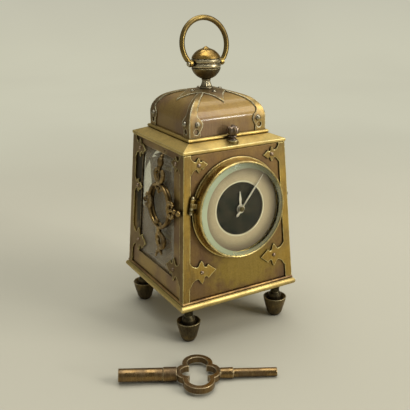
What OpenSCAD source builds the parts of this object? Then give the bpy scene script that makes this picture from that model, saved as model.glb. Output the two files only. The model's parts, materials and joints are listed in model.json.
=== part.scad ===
// Small brass clock in a lantern-shaped case, with its winding key.
// The origin is on the floor below the middle of the case, the dial faces -Y, +Z is up.

/* [Body] */
// Width of the body at its foot
body_foot_w = 65; // [62:0.5:70]
// Width of the body at its shoulder
body_top_w = 56.4; // [54:0.4:60]
// Height of the body from the bead to the top plate
body_h = 71.9; // [69:0.1:80]
// Width of each leg of a corner post
post_w = 3.8; // [3.5:0.1:4.4]
// Width of the solid core in the angle of a corner post
core_w = 3.1; // [2.6:0.1:3.3]
// Thickness of the sheet of the posts and their terminals
sheet_t = 0.8; // [0.5:0.1:1]
// Thickness of the front panel and the side frames
panel_t = 1; // [0.8:0.1:1.4]
// Clearance round panels, frames, panes and the door
panel_gap = 0.1; // [0.05:0.05:0.3]

/* [Base and feet] */
// Height of the feet from the floor to the base
foot_h = 19.2; // [17:0.2:24]
// Distance from the side of the body to the middle of a foot
foot_inset = 6.1; // [5.6:0.1:8]
// Radius of the toe of a foot
foot_toe_r = 3.05; // [2.4:0.05:3.4]
// Radius of the rim of a foot
foot_rim_r = 6.1; // [5.4:0.1:6.6]
// Height of the rim of a foot
foot_rim_z = 10.7; // [9:0.1:12.5]
// Radius of the neck of a foot
foot_neck_r = 2.3; // [1.8:0.1:2.8]
// Radius of the stud that screws a foot into the base
foot_stud_r = 1.55; // [1.2:0.05:1.7]
// Thickness of the base and its round moulding
moulding_t = 3.7; // [3:0.1:5]
// Overhang of the moulding past the body
moulding_out = 1.55; // [1.2:0.05:2]
// Thickness of the bead between the moulding and the body
bead_t = 1.2; // [0.8:0.1:2]
// Overhang of the bead past the body
bead_out = 0.4; // [0.2:0.05:0.8]

/* [Panels and windows] */
// Distance from a corner of the body to the side window
window_margin = 11.3; // [10:0.1:13]
// Height of the frame below the side window
window_sill = 8.5; // [7:0.1:10]
// Height of the frame above the side window
window_head = 3.4; // [2.6:0.1:4.5]
// Width of the bevel of a side pane
pane_bevel = 3; // [2:0.1:4]
// Thickness of a side pane at its edge
pane_edge_t = 1.2; // [0.8:0.1:1.6]
// Height of the flat middle of a side pane above its edge
pane_rise = 0.7; // [0.4:0.1:0.8]
// Radius of the ring in the side ornament
cross_ring_r = 11.4; // [9.5:0.1:12]
// Distance of the side ornament from the middle of its window, towards the front
cross_shift = 7.5; // [0:0.1:7.5]
// Thickness of the side ornament
cross_t = 1; // [0.6:0.1:1.4]
// Radius of a rivet head
rivet_r = 1.1; // [0.9:0.05:1.25]
// Radius of a rivet shank
rivet_shank_r = 0.6; // [0.4:0.05:0.7]

/* [Back door] */
// Thickness of the door
door_t = 1.2; // [0.9:0.1:1.5]
// Radius of the round window in the door
door_window_r = 23.2; // [21:0.1:23.6]
// Thickness of the round pane
door_pane_t = 1.2; // [0.8:0.1:2]
// Outer radius of the hinge knuckles of the door
knuckle_r = 1; // [0.9:0.05:1.2]
// Radius of the hinge pins
hinge_pin_r = 0.5; // [0.4:0.02:0.6]
// Running clearance of pins and arbors
run_gap = 0.05; // [0.03:0.01:0.08]

/* [Top plate and dome] */
// Overhang of the top plate past the body
top_out = 0.36; // [0.2:0.02:0.8]
// Height of the upright edge of the top plate
top_edge_h = 1.8; // [1.4:0.1:2.4]
// Rise of the sloping top of the top plate
top_rise = 2.4; // [1.8:0.1:3]
// Distance from the shoulder of the body to the dome
dome_in = 7.5; // [7.2:0.1:8.7]
// Height of the dome
dome_h = 18.8; // [17.5:0.1:21]
// Radius of the shoulder of the dome
dome_shoulder_r = 10.5; // [9:0.1:11]
// Radius of the flat crown of the dome
dome_crown_r = 35.6; // [34:0.2:46]
// Wall of the dome
dome_wall = 0.9; // [0.6:0.1:1.2]
// Thickness of the plate that the dome stands on
dome_base_t = 1.7; // [1.2:0.1:2.2]
// Ledge of that plate round the dome
dome_ledge = 1.9; // [1.6:0.1:2]
// Thickness of the straps and the star on the dome
strap_t = 0.6; // [0.4:0.05:0.8]
// Reach of the legs of the star from the middle
star_reach = 16.8; // [15:0.1:17.5]

/* [Finial and ring] */
// Height of the neck below the finial
neck_h = 4.5; // [3.5:0.1:6]
// Height of the dark bowl of the finial
bowl_h = 5.3; // [4.5:0.1:6]
// Height of the pale belt of the finial
belt_h = 4.9; // [4.2:0.1:5.2]
// Radius of the belt
belt_r = 7.4; // [6.8:0.1:7.5]
// Height of the cap of the finial to its tip
cap_h = 5.4; // [4.8:0.1:6.5]
// Radius of the ring to the middle of its wire
ring_r = 12.45; // [12:0.05:13.5]
// Radius of the wire of the ring
ring_wire_r = 1.3; // [1:0.05:1.4]
// Lean of the ring towards the back, as it stands
ring_lean = 8; // [0:1:15]

/* [Push button] */
// Distance from the edge of the plate under the dome to the middle of the button
button_out = 2.6; // [2.5:0.05:2.8]
// Radius of the head of the button
button_head_r = 2.95; // [2.4:0.05:3.1]
// Height of the middle of the head above the plate under the dome
button_head_up = 4.1; // [3.9:0.1:5]
// Travel of the button
button_travel = 1.5; // [0.8:0.1:1.6]

/* [Bezel and dial] */
// Height of the dial's middle as a share of the body's height
dial_share = 0.5967; // [0.59:0.001:0.61]
// Radius of the flange of the fixed bezel seat
seat_r = 25.3; // [25:0.05:25.4]
// Outer radius of the hinged bezel at its foot
bezel_foot_r = 24.6; // [24.3:0.05:24.65]
// Outer radius of the hinged bezel at its lip
bezel_lip_r = 23.9; // [23.7:0.05:24.2]
// Stand-off of the bezel's lip from the face of the body
bezel_h = 5.3; // [5.1:0.1:6.5]
// Width of the bevel of the dial glass
glass_bevel = 2.8; // [2:0.1:3.5]
// Turn of the bezel hinge above nine o'clock
bezel_hinge_turn = 12; // [6:1:14]
// Radius of the dial
dial_r = 21.4; // [20.4:0.1:21.5]
// Stand-off of the dial's surface from the face of the body
dial_out = 1.9; // [1.7:0.05:2]
// Radius of the dark middle of the dial
dial_centre_r = 12.98; // [11:0.02:14]
// Width of the groove between the dark middle and the chapter ring
dial_groove = 0.3; // [0.2:0.05:0.5]

/* [Hands] */
// Length of the minute hand from the middle
minute_len = 20; // [17:0.1:20.4]
// Length of the hour hand from the middle
hour_len = 8.8; // [7:0.1:12]
// Turn of the minute hand, clockwise from twelve
minute_turn = 39.6; // [0:0.1:359]
// Turn of the hour hand, clockwise from twelve
hour_turn = 358.5; // [0:0.1:359.9]
// Thickness of the hands
hand_t = 0.2; // [0.15:0.05:0.25]

/* [Movement] */
// Width of the movement plates
plate_w = 46; // [45:0.5:49]
// Height of the movement plates
plate_h = 45; // [43:0.5:47]
// Thickness of the movement plates
plate_t = 1.2; // [0.9:0.1:1.6]
// Space between the movement plates
plate_space = 40; // [38:0.5:41]
// Space between the panel and the front plate
motion_space = 2.5; // [2.3:0.1:3.2]
// Module of the great wheel and the centre pinion
great_module = 0.4; // [0.38:0.01:0.41]
// Module of the other wheels
train_module = 0.3; // [0.28:0.01:0.31]
// Thickness of a wheel
wheel_t = 0.8; // [0.6:0.05:0.9]
// Radius of the centre arbor in front
arbor_r = 0.8; // [0.6:0.05:0.85]
// Side of the square that the key winds
winding_square = 2.4; // [2:0.05:2.4]
// Side of the square that the key sets the hands with
setting_square = 1.8; // [1.4:0.05:1.8]
// Height of the barrel behind its wheel
barrel_h = 9.7; // [8:0.1:11]
// Radius of the rim of the balance
balance_r = 6; // [5:0.1:6.4]

/* [Key] */
// Length of the whole key
key_len = 72; // [68:0.5:76]
// Radius of the winding tube
key_wind_r = 3.05; // [2.8:0.05:3.3]
// Radius of the setting tube
key_set_r = 2.05; // [1.8:0.05:2.3]
// Radius of the collars on the tubes
key_collar_r = 3.3; // [3.1:0.05:3.6]
// Distance from the winding end to the middle of the bow
key_bow_at = 36; // [34:0.5:38]
// Reach of the bow across the key
bow_half_across = 13.6; // [12:0.1:15]
// Reach of the bow along the key
bow_half_along = 10.4; // [9.6:0.1:11]
// Width of the bar of the bow
bow_bar = 2.3; // [1.8:0.1:2.8]
// Thickness of the bow
bow_t = 3; // [2.4:0.1:3.4]
// Place of the winding end of the key on the floor
key_end = [-71.7, -43.6]; // [-80:0.1:-40]
// Direction of the key on the floor
key_direction = -25.8; // [-40:0.2:-10]

/* [Hidden] */
$fn = 64;
eps = 0.01;

// Body
foot_half = body_foot_w/2;
top_half = body_top_w/2;
slope = atan((foot_half - top_half)/body_h);
slant = body_h/cos(slope);
body_z = foot_h + moulding_t + bead_t;
top_z = body_z + body_h;
panel_in = sheet_t + panel_t;
post_inner = foot_half - post_w;
edge_lean = atan(sin(slope));
side_reach = 2*body_foot_w;

// Strap terminals: height up the face and scale; the rear ends of the sides have three
fleur_len = 14;
fleur_rivet = 6.1;
fleur_root = 0.6;
front_spots = [[13.9, 1], [slant - 5.2, 0.6]];
rear_spots = [[15.4, 1.12], [0.633*slant, 0.6], [slant - 5.8, 0.78]];
function terminal_spots(side, end) =
    (side == 3 && end < 0) || (side == 1 && end > 0) ? rear_spots : front_spots;

// Side window
dial_up = dial_share*body_h;
window_low_v = window_sill;
window_high_v = slant - window_head;
cross_v = dial_up;
pane_rim = 2;

// Back door
door_out = 0.2;
door_half_gap = post_w + 0.2;
door_v0 = 0.4;
door_v1 = slant - 0.4;
door_window_v = dial_share*slant;
door_pane_lap = 1.1;
knuckle_stand = knuckle_r + 0.15;
knuckle_len = 2.2;
knuckle_mid = 2.4;
knuckle_gap = 0.2;
leaf_t = 0.5;
leaf_w = 2.6;
door_hinge_spots = [14, slant - 18];

// Top plate, dome and finial
plate_half = top_half + top_out;
dome_base_z = top_z + top_edge_h + top_rise;
dome_z = dome_base_z + dome_base_t;
crown_z = dome_z + dome_h;
dome_half = top_half - dome_in;
dome_base_half = dome_half + dome_ledge;
button_y = dome_base_half + button_out;
star_hole_r = 1.25;
neck_z = crown_z + strap_t + 0.05;
bowl_z = neck_z + neck_h;
belt_z = bowl_z + bowl_h;
cap_z = belt_z + belt_h;
hinge_z = belt_z + belt_h/2;
neck_foot_r = 3.4;
neck_top_r = 2;
cap_r = belt_r - 0.2;
stud_r = 1.2;
eye_r = 1.7;
eye_bore_r = 0.9;
eye_head_r = 1.25;
eye_in = belt_r + 0.5;
eye_out = eye_in + 1.5;
lug_end = eye_out + 0.7;
ring_up = sqrt(ring_r*ring_r - pow((eye_in + eye_out)/2, 2));

// Push button
bush_r = 2.6;
bush_top = dome_base_z - 0.3;
bush_floor = top_z + 0.6;
button_shoulder_r = 1.85;
button_rod_r = 0.6;
button_shoulder_z = bush_top - 0.3;
button_head_z = dome_z + button_head_up - 1.7;
spring_turns = 4;
spring_wire_r = 0.14;
spring_r = 1.4;

// Bezel, dial and hands
dial_v = dial_up/cos(slope);
seat_t = 1;
seat_collar_r = 22;
seat_bore_r = 20;
dial_back = dial_out - 0.8;
bezel_back = seat_t - sheet_t + 0.1;
bezel_bore_r = seat_collar_r + 0.4;
glass_r = bezel_lip_r - 0.6;
glass_in = bezel_h - 0.95;
glass_edge_t = 0.75;
glass_rise = 0.7;
bezel_pin_at = bezel_foot_r + 1.8;
bezel_pin_out = 1.15;
bezel_knuckle_r = 0.9;
bezel_ball_r = 0.85;
hour_out = dial_out + 0.5;
minute_out = hour_out + 0.7;
nut_h = 0.65;
hour_pipe_r = 1.5;
hour_pipe_bore = 0.9;

// Movement, in the frame of the dial: heights are measured outwards from the face
front_plate_out = -panel_in - motion_space;
back_plate_out = front_plate_out - plate_t - plate_space;
great_teeth = 56;
centre_teeth = 60;
third_teeth = 56;
pinion_teeth = 10;
cannon_teeth = 10;
minute_teeth = 30;
minute_leaf_teeth = 8;
hour_teeth = 32;
great_out = front_plate_out - 10.6;
centre_out = front_plate_out - 4.9;
third_out = centre_out - 3.4;
motion_out = front_plate_out + 0.4;
hour_wheel_out = motion_out + 1;
barrel_place = 245;
third_place = 45;
minute_place = 200;
barrel_distance = great_module*(great_teeth + pinion_teeth)/2;
third_distance = train_module*(centre_teeth + pinion_teeth)/2;
minute_distance = train_module*(cannon_teeth + minute_teeth)/2;
barrel_at = barrel_distance*[cos(barrel_place), sin(barrel_place)];
third_at = third_distance*[cos(third_place), sin(third_place)];
minute_at = minute_distance*[cos(minute_place), sin(minute_place)];
balance_at = [10, 10.5];
barrel_r = 9.6;
barrel_wall = 0.8;
winding_r = 1.7;
setting_r = 1.3;
third_arbor_r = 0.6;
minute_stud_r = 0.5;
staff_r = 0.3;
square_reach = 7;
plate_drop = 2;
pillar_r = 1.6;
pillar_rod_r = 0.8;
pillar_x = plate_w/2 - 3.5;
pillar_up = plate_h/2 - plate_drop - 3.5;
pillar_down = plate_h/2 + plate_drop - 3.5;
bridge_size = 17;
bridge_t = 1.2;
cock_depth = 4.8;

// Key
key_tilt = atan((key_collar_r - key_set_r)/(key_len/2 + 12));
key_lift = key_collar_r + 0.03;
key_bore_depth = 12;
key_collar_len = 5.5;

function polar(r, angle) = [r*cos(angle), r*sin(angle)];
function face_half(v) = foot_half - v*sin(slope);

// Frame on one face: X across, Y up the slope, Z outwards; 0 front, 1 right, 2 back, 3 left
module on_face(side) {
    rotate([0, 0, 90*side]) translate([0, -foot_half, body_z]) rotate([90 - slope, 0, 0]) children();
}

module at_dial() {
    on_face(0) translate([0, dial_v, 0]) children();
}

// A square turning: the outline, drawn from side to side, is swept both ways and mitred
module square_turning(reach) {
    intersection() {
        rotate([90, 0, 0]) linear_extrude(2*reach, center=true) children(0);
        rotate([90, 0, 90]) linear_extrude(2*reach, center=true) children(0);
    }
}

module body_outline(inset, extra) {
    lean = (foot_half - top_half)/body_h;
    low = foot_half - inset + extra*lean;
    high = top_half - inset - extra*lean;
    polygon([[-low, body_z - extra], [low, body_z - extra], [high, top_z + extra], [-high, top_z + extra]]);
}

module face_outline(inset, v0, v1) {
    polygon([
        [inset - face_half(v0), v0], [face_half(v0) - inset, v0],
        [face_half(v1) - inset, v1], [inset - face_half(v1), v1]
    ]);
}

// Strap terminal: a stalk that flares from the post, two leaves and an arrow head
module fleur() {
    half = [
        [-0.6 - fleur_root, 6.6], [-fleur_root, 6.6], [0.7, 4.5], [1.9, 3.5], [3.4, 3], [4.3, 3.5], [5, 4.9], [6.1, 6.1],
        [6.9, 4.7], [7.1, 3.4], [7.7, 2.4], [8.7, 2.5], [9.6, 3.6], [11.3, 2.1], [fleur_len, 0]
    ];
    polygon(concat(half, [for (i = [len(half) - 2 : -1 : 0]) [half[i][0], -half[i][1]]]));
}

// Terminals along one edge of a face: end is -1 on the left, 1 on the right
module terminals(side, end) {
    on_face(side) translate([0, 0, -sheet_t]) linear_extrude(sheet_t) difference() {
        for (spot = terminal_spots(side, end))
            translate([end*(face_half(spot[0]) - post_w - fleur_root), spot[0]])
                mirror([end > 0 ? 1 : 0, 0]) scale([spot[1], spot[1]]) fleur();
        rivet_spots(side, end) circle(rivet_shank_r + run_gap);
    }
}

// Runs over the rivets of those terminals, unscaled
module rivet_spots(side, end) {
    for (spot = terminal_spots(side, end))
        translate([end*(face_half(spot[0]) - post_w - fleur_root - fleur_rivet*spot[1]), spot[0]])
            children();
}

// Base and feet
module base_moulding() {
    r = moulding_t/2;
    reach = foot_half + moulding_out - r;
    color("darkgoldenrod") difference() {
        translate([0, 0, foot_h + r]) square_turning(side_reach) union() {
            square([2*reach, moulding_t], center=true);
            for (side = [-1, 1]) translate([side*reach, 0]) circle(r);
        }
        for (turn = [0:3]) at_foot(turn) translate([0, 0, foot_h - eps])
            cylinder(r=foot_stud_r + run_gap, h=moulding_t + 2*eps);
    }
}

module base_bead() {
    r = bead_t/2;
    reach = foot_half + bead_out - r;
    color("rosybrown") translate([0, 0, body_z - r]) square_turning(side_reach) union() {
        square([2*reach, bead_t], center=true);
        for (side = [-1, 1]) translate([side*reach, 0]) circle(r);
    }
}

// Place of a foot: 0 front left, 1 front right, 2 back right, 3 back left
module at_foot(turn) {
    rotate([0, 0, 90*turn]) translate([foot_inset - foot_half, foot_inset - foot_half, 0]) children();
}

module foot(turn) {
    flange_r = foot_neck_r + 1.7;
    bulb_r = foot_neck_r + 1.2;
    function side_r(share) = foot_toe_r + share*(foot_rim_r - foot_toe_r);
    color("dimgray") at_foot(turn) union() {
        rotate_extrude() polygon([
            [0, 0], [foot_toe_r - 0.6, 0], [foot_toe_r, 0.5], [side_r(0.32), 0.2*foot_rim_z],
            [side_r(0.63), 0.52*foot_rim_z], [side_r(0.88), 0.8*foot_rim_z],
            [foot_rim_r, foot_rim_z], [foot_rim_r - 0.35, foot_rim_z + 0.2], [foot_rim_r - 0.8, foot_rim_z],
            [bulb_r + 0.2, foot_rim_z - 1.4], [bulb_r, foot_rim_z - 0.4],
            [bulb_r - 0.1, foot_rim_z + 0.9], [bulb_r - 0.5, foot_rim_z + 2.1],
            [foot_neck_r, foot_rim_z + 3.2], [foot_neck_r, foot_h - 3.4], [flange_r - 0.6, foot_h - 1.4],
            [flange_r, foot_h - 0.8], [flange_r, foot_h], [0, foot_h]
        ]);
        translate([0, 0, foot_h - 0.5]) cylinder(r=foot_stud_r, h=0.5 + moulding_t - 0.3);
    }
}

// Corner posts
module column(width) {
    module leg() {
        polygon([
            [-foot_half, body_z], [width - foot_half, body_z],
            [width - top_half, top_z], [-top_half, top_z]
        ]);
    }
    intersection() {
        rotate([90, 0, 0]) linear_extrude(side_reach, center=true) leg();
        rotate([90, 0, 90]) linear_extrude(side_reach, center=true) leg();
    }
}

module post(turn) {
    union() {
        rotate([0, 0, 90*turn]) {
            column(core_w);
            difference() {
                column(post_w);
                square_turning(side_reach) body_outline(sheet_t, 1);
            }
        }
        children();
    }
}

module post_front_left() {
    color("goldenrod") post(0) { union() { terminals(0, -1); terminals(3, 1); } }
}
module post_front_right() {
    color("goldenrod") post(1) { union() { terminals(1, -1); terminals(0, 1); } }
}
module post_back_right() {
    color("goldenrod") post(2) { terminals(1, 1); }
}
module post_back_left() {
    color("goldenrod") post(3) { union() { terminals(3, -1); fixed_knuckles(); } }
}

module strap_rivets() {
    color("indianred") for (place = [[0, -1], [0, 1], [1, -1], [1, 1], [3, -1], [3, 1]])
        on_face(place[0]) rivet_spots(place[0], place[1]) {
            rivet_head(rivet_r);
            translate([0, 0, -panel_in]) cylinder(r=rivet_shank_r, h=panel_in + eps);
        }
}

// Domed head on the plane z = 0
module rivet_head(r) {
    rise = 0.75*r;
    ball = (r*r + rise*rise)/(2*rise);
    intersection() {
        translate([0, 0, rise - ball]) sphere(ball);
        cylinder(r=2*r, h=2*r);
    }
}

// Front panel and side frames
module panel_blank() {
    face_outline(core_w + panel_gap, 0.3, slant - 0.2);
}

module front_panel() {
    color("peru") on_face(0) translate([0, 0, -panel_in]) linear_extrude(panel_t) difference() {
        panel_blank();
        translate([0, dial_v]) circle(seat_bore_r - 0.5);
        for (end = [-1, 1]) rivet_spots(0, end) circle(rivet_shank_r + run_gap);
    }
}

module side_frame(side) {
    color("rosybrown") on_face(side) translate([0, 0, -panel_in]) linear_extrude(panel_t) difference() {
        panel_blank();
        face_outline(window_margin, window_low_v, window_high_v);
        for (end = [-1, 1]) rivet_spots(side, end) circle(rivet_shank_r + run_gap);
        for (place = cross_pegs) translate(place_on_side(side, place)) circle(cross_peg_r + run_gap);
    }
}

// Bevelled pane behind a side frame: its edge lies on the frame, its middle stands in the window
module side_pane(side) {
    inner = window_margin + pane_bevel;
    g = panel_gap;
    color("lightcyan", 0.4) on_face(side) union() {
        translate([0, 0, -panel_in - pane_edge_t]) linear_extrude(pane_edge_t)
            face_outline(window_margin - pane_rim, window_low_v - pane_rim, window_high_v + pane_rim - 0.3);
        intersection() {
            translate([0, 0, -panel_in - eps]) linear_extrude(pane_rise + eps)
                face_outline(window_margin + g, window_low_v + g, window_high_v - g);
            hull() {
                translate([0, 0, -panel_in - 0.1]) linear_extrude(eps)
                    face_outline(window_margin, window_low_v, window_high_v);
                translate([0, 0, -panel_in + pane_rise]) linear_extrude(eps)
                    face_outline(inner, window_low_v + pane_bevel, window_high_v - pane_bevel);
            }
        }
    }
}

// Side ornament: a ring with four sprigs, carried by two pegs in the frame
cross_peg_r = 0.5;
cross_top = 24;
cross_low = 28;
cross_front = 20;
cross_rear = 18;
cross_hanger = slant - window_head/2 - cross_v;
cross_pegs = [[cross_front - 4.6, 0], [0, cross_hanger]];
function place_on_side(side, place) =
    [(side == 3 ? 1 : -1)*(cross_shift + place[0]), cross_v + place[1]];

// Three round leaves and a point, from the middle between the side leaves
module trefoil(r) {
    union() {
        for (angle = [0, 90, 180]) translate(0.8*r*[cos(angle), sin(angle)]) circle(0.62*r);
        polygon([[-0.5*r, 0.3*r], [0.5*r, 0.3*r], [0, 1.9*r]]);
    }
}

// Stalk out of the ring with a pair of buds and a trefoil, its point at the given reach
module sprig(angle, reach, r) {
    rotate(angle) union() {
        translate([-0.75, cross_ring_r - 1]) square([1.5, reach - 1.9*r - cross_ring_r + 1.2]);
        for (side = [-1, 1]) translate([side*1.5, cross_ring_r + 1.4]) circle(1.3);
        translate([0, reach - 1.9*r]) trefoil(r);
    }
}

module cross_outline() {
    inner = cross_ring_r - 1.6;
    difference() {
        union() {
            circle(cross_ring_r);
            sprig(0, cross_top, 3.1);
            sprig(180, cross_low - 7.5, 2.5);
            translate([0, -cross_low + 4.4]) rotate(180) trefoil(2.3);
            translate([-0.7, -cross_low + 4]) square([1.4, 6]);
            sprig(-90, cross_front, 2.4);
            sprig(90, cross_rear, 2);
            translate([-0.8, cross_top - 4]) square([1.6, cross_hanger - cross_top + 4.9]);
        }
        difference() {
            circle(inner);
            for (angle = [0:90:270]) rotate(angle) translate([0, inner]) circle(1.7);
        }
    }
}

module side_cross(side) {
    color("saddlebrown") on_face(side) {
        translate(concat(place_on_side(side, [0, 0]), [0])) mirror([side == 3 ? 0 : 1, 0, 0])
            translate([0, 0, 0.02]) linear_extrude(cross_t) cross_outline();
        for (place = cross_pegs) translate(concat(place_on_side(side, place), [0.1 - panel_in]))
            cylinder(r=cross_peg_r, h=panel_in + 0.4);
    }
}

// Back door and its hinges: Y runs along the slanted hinge line
module at_door_hinge() {
    on_face(2) translate([post_inner, 0, knuckle_stand]) rotate([0, 0, edge_lean]) children();
}

module knuckle(y, length, outer, bore) {
    translate([0, y, 0]) rotate([90, 0, 0]) difference() {
        cylinder(r=outer, h=length, center=true);
        cylinder(r=bore, h=length + 1, center=true);
    }
}

module fixed_knuckles() {
    shift = (knuckle_mid + knuckle_len)/2 + knuckle_gap;
    reach = shift + knuckle_len;
    at_door_hinge() for (spot = door_hinge_spots) for (side = [-1, 1]) {
        difference() {
            translate([0, spot + side*shift - knuckle_len/2, -knuckle_stand - 0.1])
                cube([leaf_w, knuckle_len, knuckle_stand + 0.1]);
            translate([0.8, spot - reach, -knuckle_stand + leaf_t])
                cube([leaf_w, 2*reach, 2*knuckle_stand]);
            translate([0, spot + side*shift, 0]) rotate([90, 0, 0])
                cylinder(r=knuckle_r - 0.1, h=knuckle_len + 1, center=true);
        }
        knuckle(spot + side*shift, knuckle_len, knuckle_r, hinge_pin_r + run_gap);
    }
}

module back_door() {
    color("rosybrown") union() {
        on_face(2) translate([0, 0, -door_out - door_t]) linear_extrude(door_t) difference() {
            face_outline(door_half_gap, door_v0, door_v1);
            translate([0, door_window_v]) circle(door_window_r);
            translate(knob_place()) circle(knob_stem_r + run_gap);
        }
        at_door_hinge() for (spot = door_hinge_spots) {
            difference() {
                translate([-leaf_w, spot - knuckle_mid/2, -knuckle_stand - door_out - 0.1])
                    cube([leaf_w - panel_gap, knuckle_mid, knuckle_stand + door_out + 0.1]);
                translate([-leaf_w - 0.8, spot - knuckle_mid, leaf_t - knuckle_stand - door_out])
                    cube([leaf_w, 2*knuckle_mid, 2*knuckle_stand]);
                translate([0, spot, 0]) rotate([90, 0, 0])
                    cylinder(r=knuckle_r - 0.1, h=knuckle_mid + 1, center=true);
            }
            knuckle(spot, knuckle_mid, knuckle_r, hinge_pin_r + run_gap);
        }
    }
}

// Distance from the end of a knuckle to the middle of the ball that closes its pin
function ball_rise(r) = sqrt(r*r - pow(hinge_pin_r + run_gap, 2)) + 0.03;

module door_hinge_pins() {
    ball_r = knuckle_r - 0.1;
    reach = knuckle_mid/2 + knuckle_gap + knuckle_len;
    color("goldenrod") at_door_hinge() for (spot = door_hinge_spots) {
        translate([0, spot, 0]) rotate([90, 0, 0]) cylinder(r=hinge_pin_r, h=2*reach + 1.4, center=true);
        for (side = [-1, 1]) translate([0, spot + side*(reach + ball_rise(ball_r)), 0]) sphere(ball_r);
    }
}

module door_pane() {
    color("lightcyan", 0.4) on_face(2) translate([0, door_window_v, -door_out - door_t - door_pane_t])
        cylinder(r=door_window_r + door_pane_lap, h=door_pane_t);
}

knob_stem_r = 0.9;
knob_r = 2.2;
function knob_place() = [door_half_gap + 2.2 - face_half(10), 10];

module door_knob() {
    color("goldenrod") on_face(2) translate(concat(knob_place(), [-door_out])) union() {
        translate([0, 0, -door_t - 0.4]) cylinder(r=knob_stem_r, h=door_t + 3);
        cylinder(r=1.6, h=0.5);
        translate([0, 0, 3.4]) sphere(knob_r - 0.4);
    }
}

// Top plate and dome
module top_plate() {
    color("darkkhaki") difference() {
        square_turning(side_reach) polygon([
            [-plate_half + 0.5, top_z], [plate_half - 0.5, top_z], [plate_half, top_z + 0.6],
            [plate_half, top_z + top_edge_h], [dome_base_half - 0.2, dome_base_z],
            [0.2 - dome_base_half, dome_base_z], [-plate_half, top_z + top_edge_h],
            [-plate_half, top_z + 0.6]
        ]);
        translate([-dome_half - 1, -dome_half - 1, top_z - 1])
            cube([2*dome_half + 2, 2*dome_half + 2, top_edge_h + 1.4]);
        translate([0, -button_y, top_z - 1]) cylinder(r=bush_r + run_gap, h=top_edge_h + top_rise + 2);
        translate([0, 0, top_z]) cylinder(r=5, h=2*top_rise + 4);
    }
}

module dome_base() {
    r = dome_base_t/2;
    reach = dome_base_half - r;
    color("darkkhaki") difference() {
        translate([0, 0, dome_base_z + r]) square_turning(side_reach) union() {
            square([2*reach, dome_base_t], center=true);
            for (side = [-1, 1]) translate([side*reach, 0]) circle(r);
        }
        translate([0, 0, dome_base_z - 1]) cylinder(r=5, h=dome_base_t + 2);
    }
}

// Outline of the dome: upright sides, round shoulders and a wide crown arc, all tangent
module dome_outline(inset, extra) {
    half = dome_half - inset;
    shoulder = dome_shoulder_r - inset;
    crown = dome_crown_r - inset;
    top = crown_z - inset;
    cx = half - shoulder;
    crown_y = top - crown;
    cy = crown_y + sqrt(pow(crown - shoulder, 2) - cx*cx);
    touch_y = crown_y + crown*(cy - crown_y)/(crown - shoulder);
    touch_x = crown*cx/(crown - shoulder);
    intersection() {
        union() {
            translate([-half, dome_z - extra]) square([2*half, cy - dome_z + extra]);
            for (side = [-1, 1]) translate([side*cx, cy]) circle(shoulder);
            intersection() {
                translate([0, crown_y]) circle(crown);
                polygon([
                    [-cx, cy], [cx, cy], [touch_x, touch_y], [touch_x, top + 1], [-touch_x, top + 1],
                    [-touch_x, touch_y]
                ]);
            }
        }
        translate([-half, dome_z - extra]) square([2*half, top - dome_z + extra + 1]);
    }
}

module dome_shell() {
    color("sienna") difference() {
        square_turning(side_reach) dome_outline(0, 0);
        square_turning(side_reach) dome_outline(dome_wall, 1);
        translate([0, 0, crown_z - 5]) cylinder(r=stud_r + run_gap, h=10);
        dome_rivet_places() translate([0, 0, -dome_wall - 1]) cylinder(r=rivet_shank_r + run_gap, h=5);
    }
}

// Skin of the dome, one strap thick, inside which the straps and the star are cut
module dome_skin() {
    difference() {
        square_turning(side_reach) dome_outline(-strap_t, 0);
        square_turning(side_reach) dome_outline(0, 1);
    }
}

lobe_w = 6.7;
lobe_h = 11.6;
lobe_hole_up = 2.9;
lobe_hole_in = 3.1;
lobe_hole_r = 1.3;
lobe_rivet_up = 6.2;
lobe_rivet_in = 3.8;
lobe_rivet_r = 1.5;
strap_outer_half = 2.9;
strap_inner_half = 1.3;
strap_inner = 10.2;

// Foot of a strap on one side of a groin, from the groin at x = 0
module lobe() {
    polygon([
        [-0.6, 0], [lobe_w - 1.5, 0], [lobe_w - 1.3, 1.2], [lobe_w - 1.5, 2.6],
        [lobe_w - 0.8, 3.9], [lobe_w - 0.1, 5.3], [lobe_w, 6.6], [lobe_w - 0.6, 7.9],
        [lobe_w - 1.7, 9], [lobe_w - 2.4, 9.9], [lobe_w - 2.6, lobe_h], [-0.6, lobe_h]
    ]);
}

module strap(turn) {
    deep = 2.6;
    strap_outer = sqrt(2)*dome_half + 2;
    rotate([0, 0, 90*turn]) intersection() {
        dome_skin();
        union() {
            rotate([0, 0, 225]) translate([0, 0, dome_z]) linear_extrude(dome_h + 2) polygon([
                [strap_inner, -strap_inner_half], [strap_outer, -strap_outer_half],
                [strap_outer, strap_outer_half], [strap_inner, strap_inner_half]
            ]);
            translate([-dome_half, deep - dome_half, dome_z]) rotate([90, 0, 0])
                linear_extrude(2*deep) lobe();
            translate([deep - dome_half, -dome_half, dome_z]) rotate([90, 0, -90])
                linear_extrude(2*deep) mirror([1, 0]) lobe();
        }
    }
}

module dome_straps() {
    color("darkkhaki") difference() {
        union() { for (turn = [0:3]) strap(turn); }
        strap_places(lobe_hole_in, lobe_hole_up) translate([0, 0, -0.5]) cylinder(r=lobe_hole_r, h=2);
        strap_rivet_places() translate([0, 0, -0.5]) cylinder(r=rivet_shank_r + run_gap, h=2);
    }
}

// Runs over the eight lobes of the straps, Z outwards from the dome's side
module strap_places(across, up) {
    for (turn = [0:3]) rotate([0, 0, 90*turn]) for (side = [-1, 1])
        translate([side*(dome_half - across), -dome_half, dome_z + up])
            rotate([90, 0, 0]) children();
}

module strap_rivet_places() {
    strap_places(lobe_rivet_in, lobe_rivet_up) children();
}

star_rivet_at = 7.7;
star_waist = 9.9;
star_shoulder = [11, 3.1];

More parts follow.
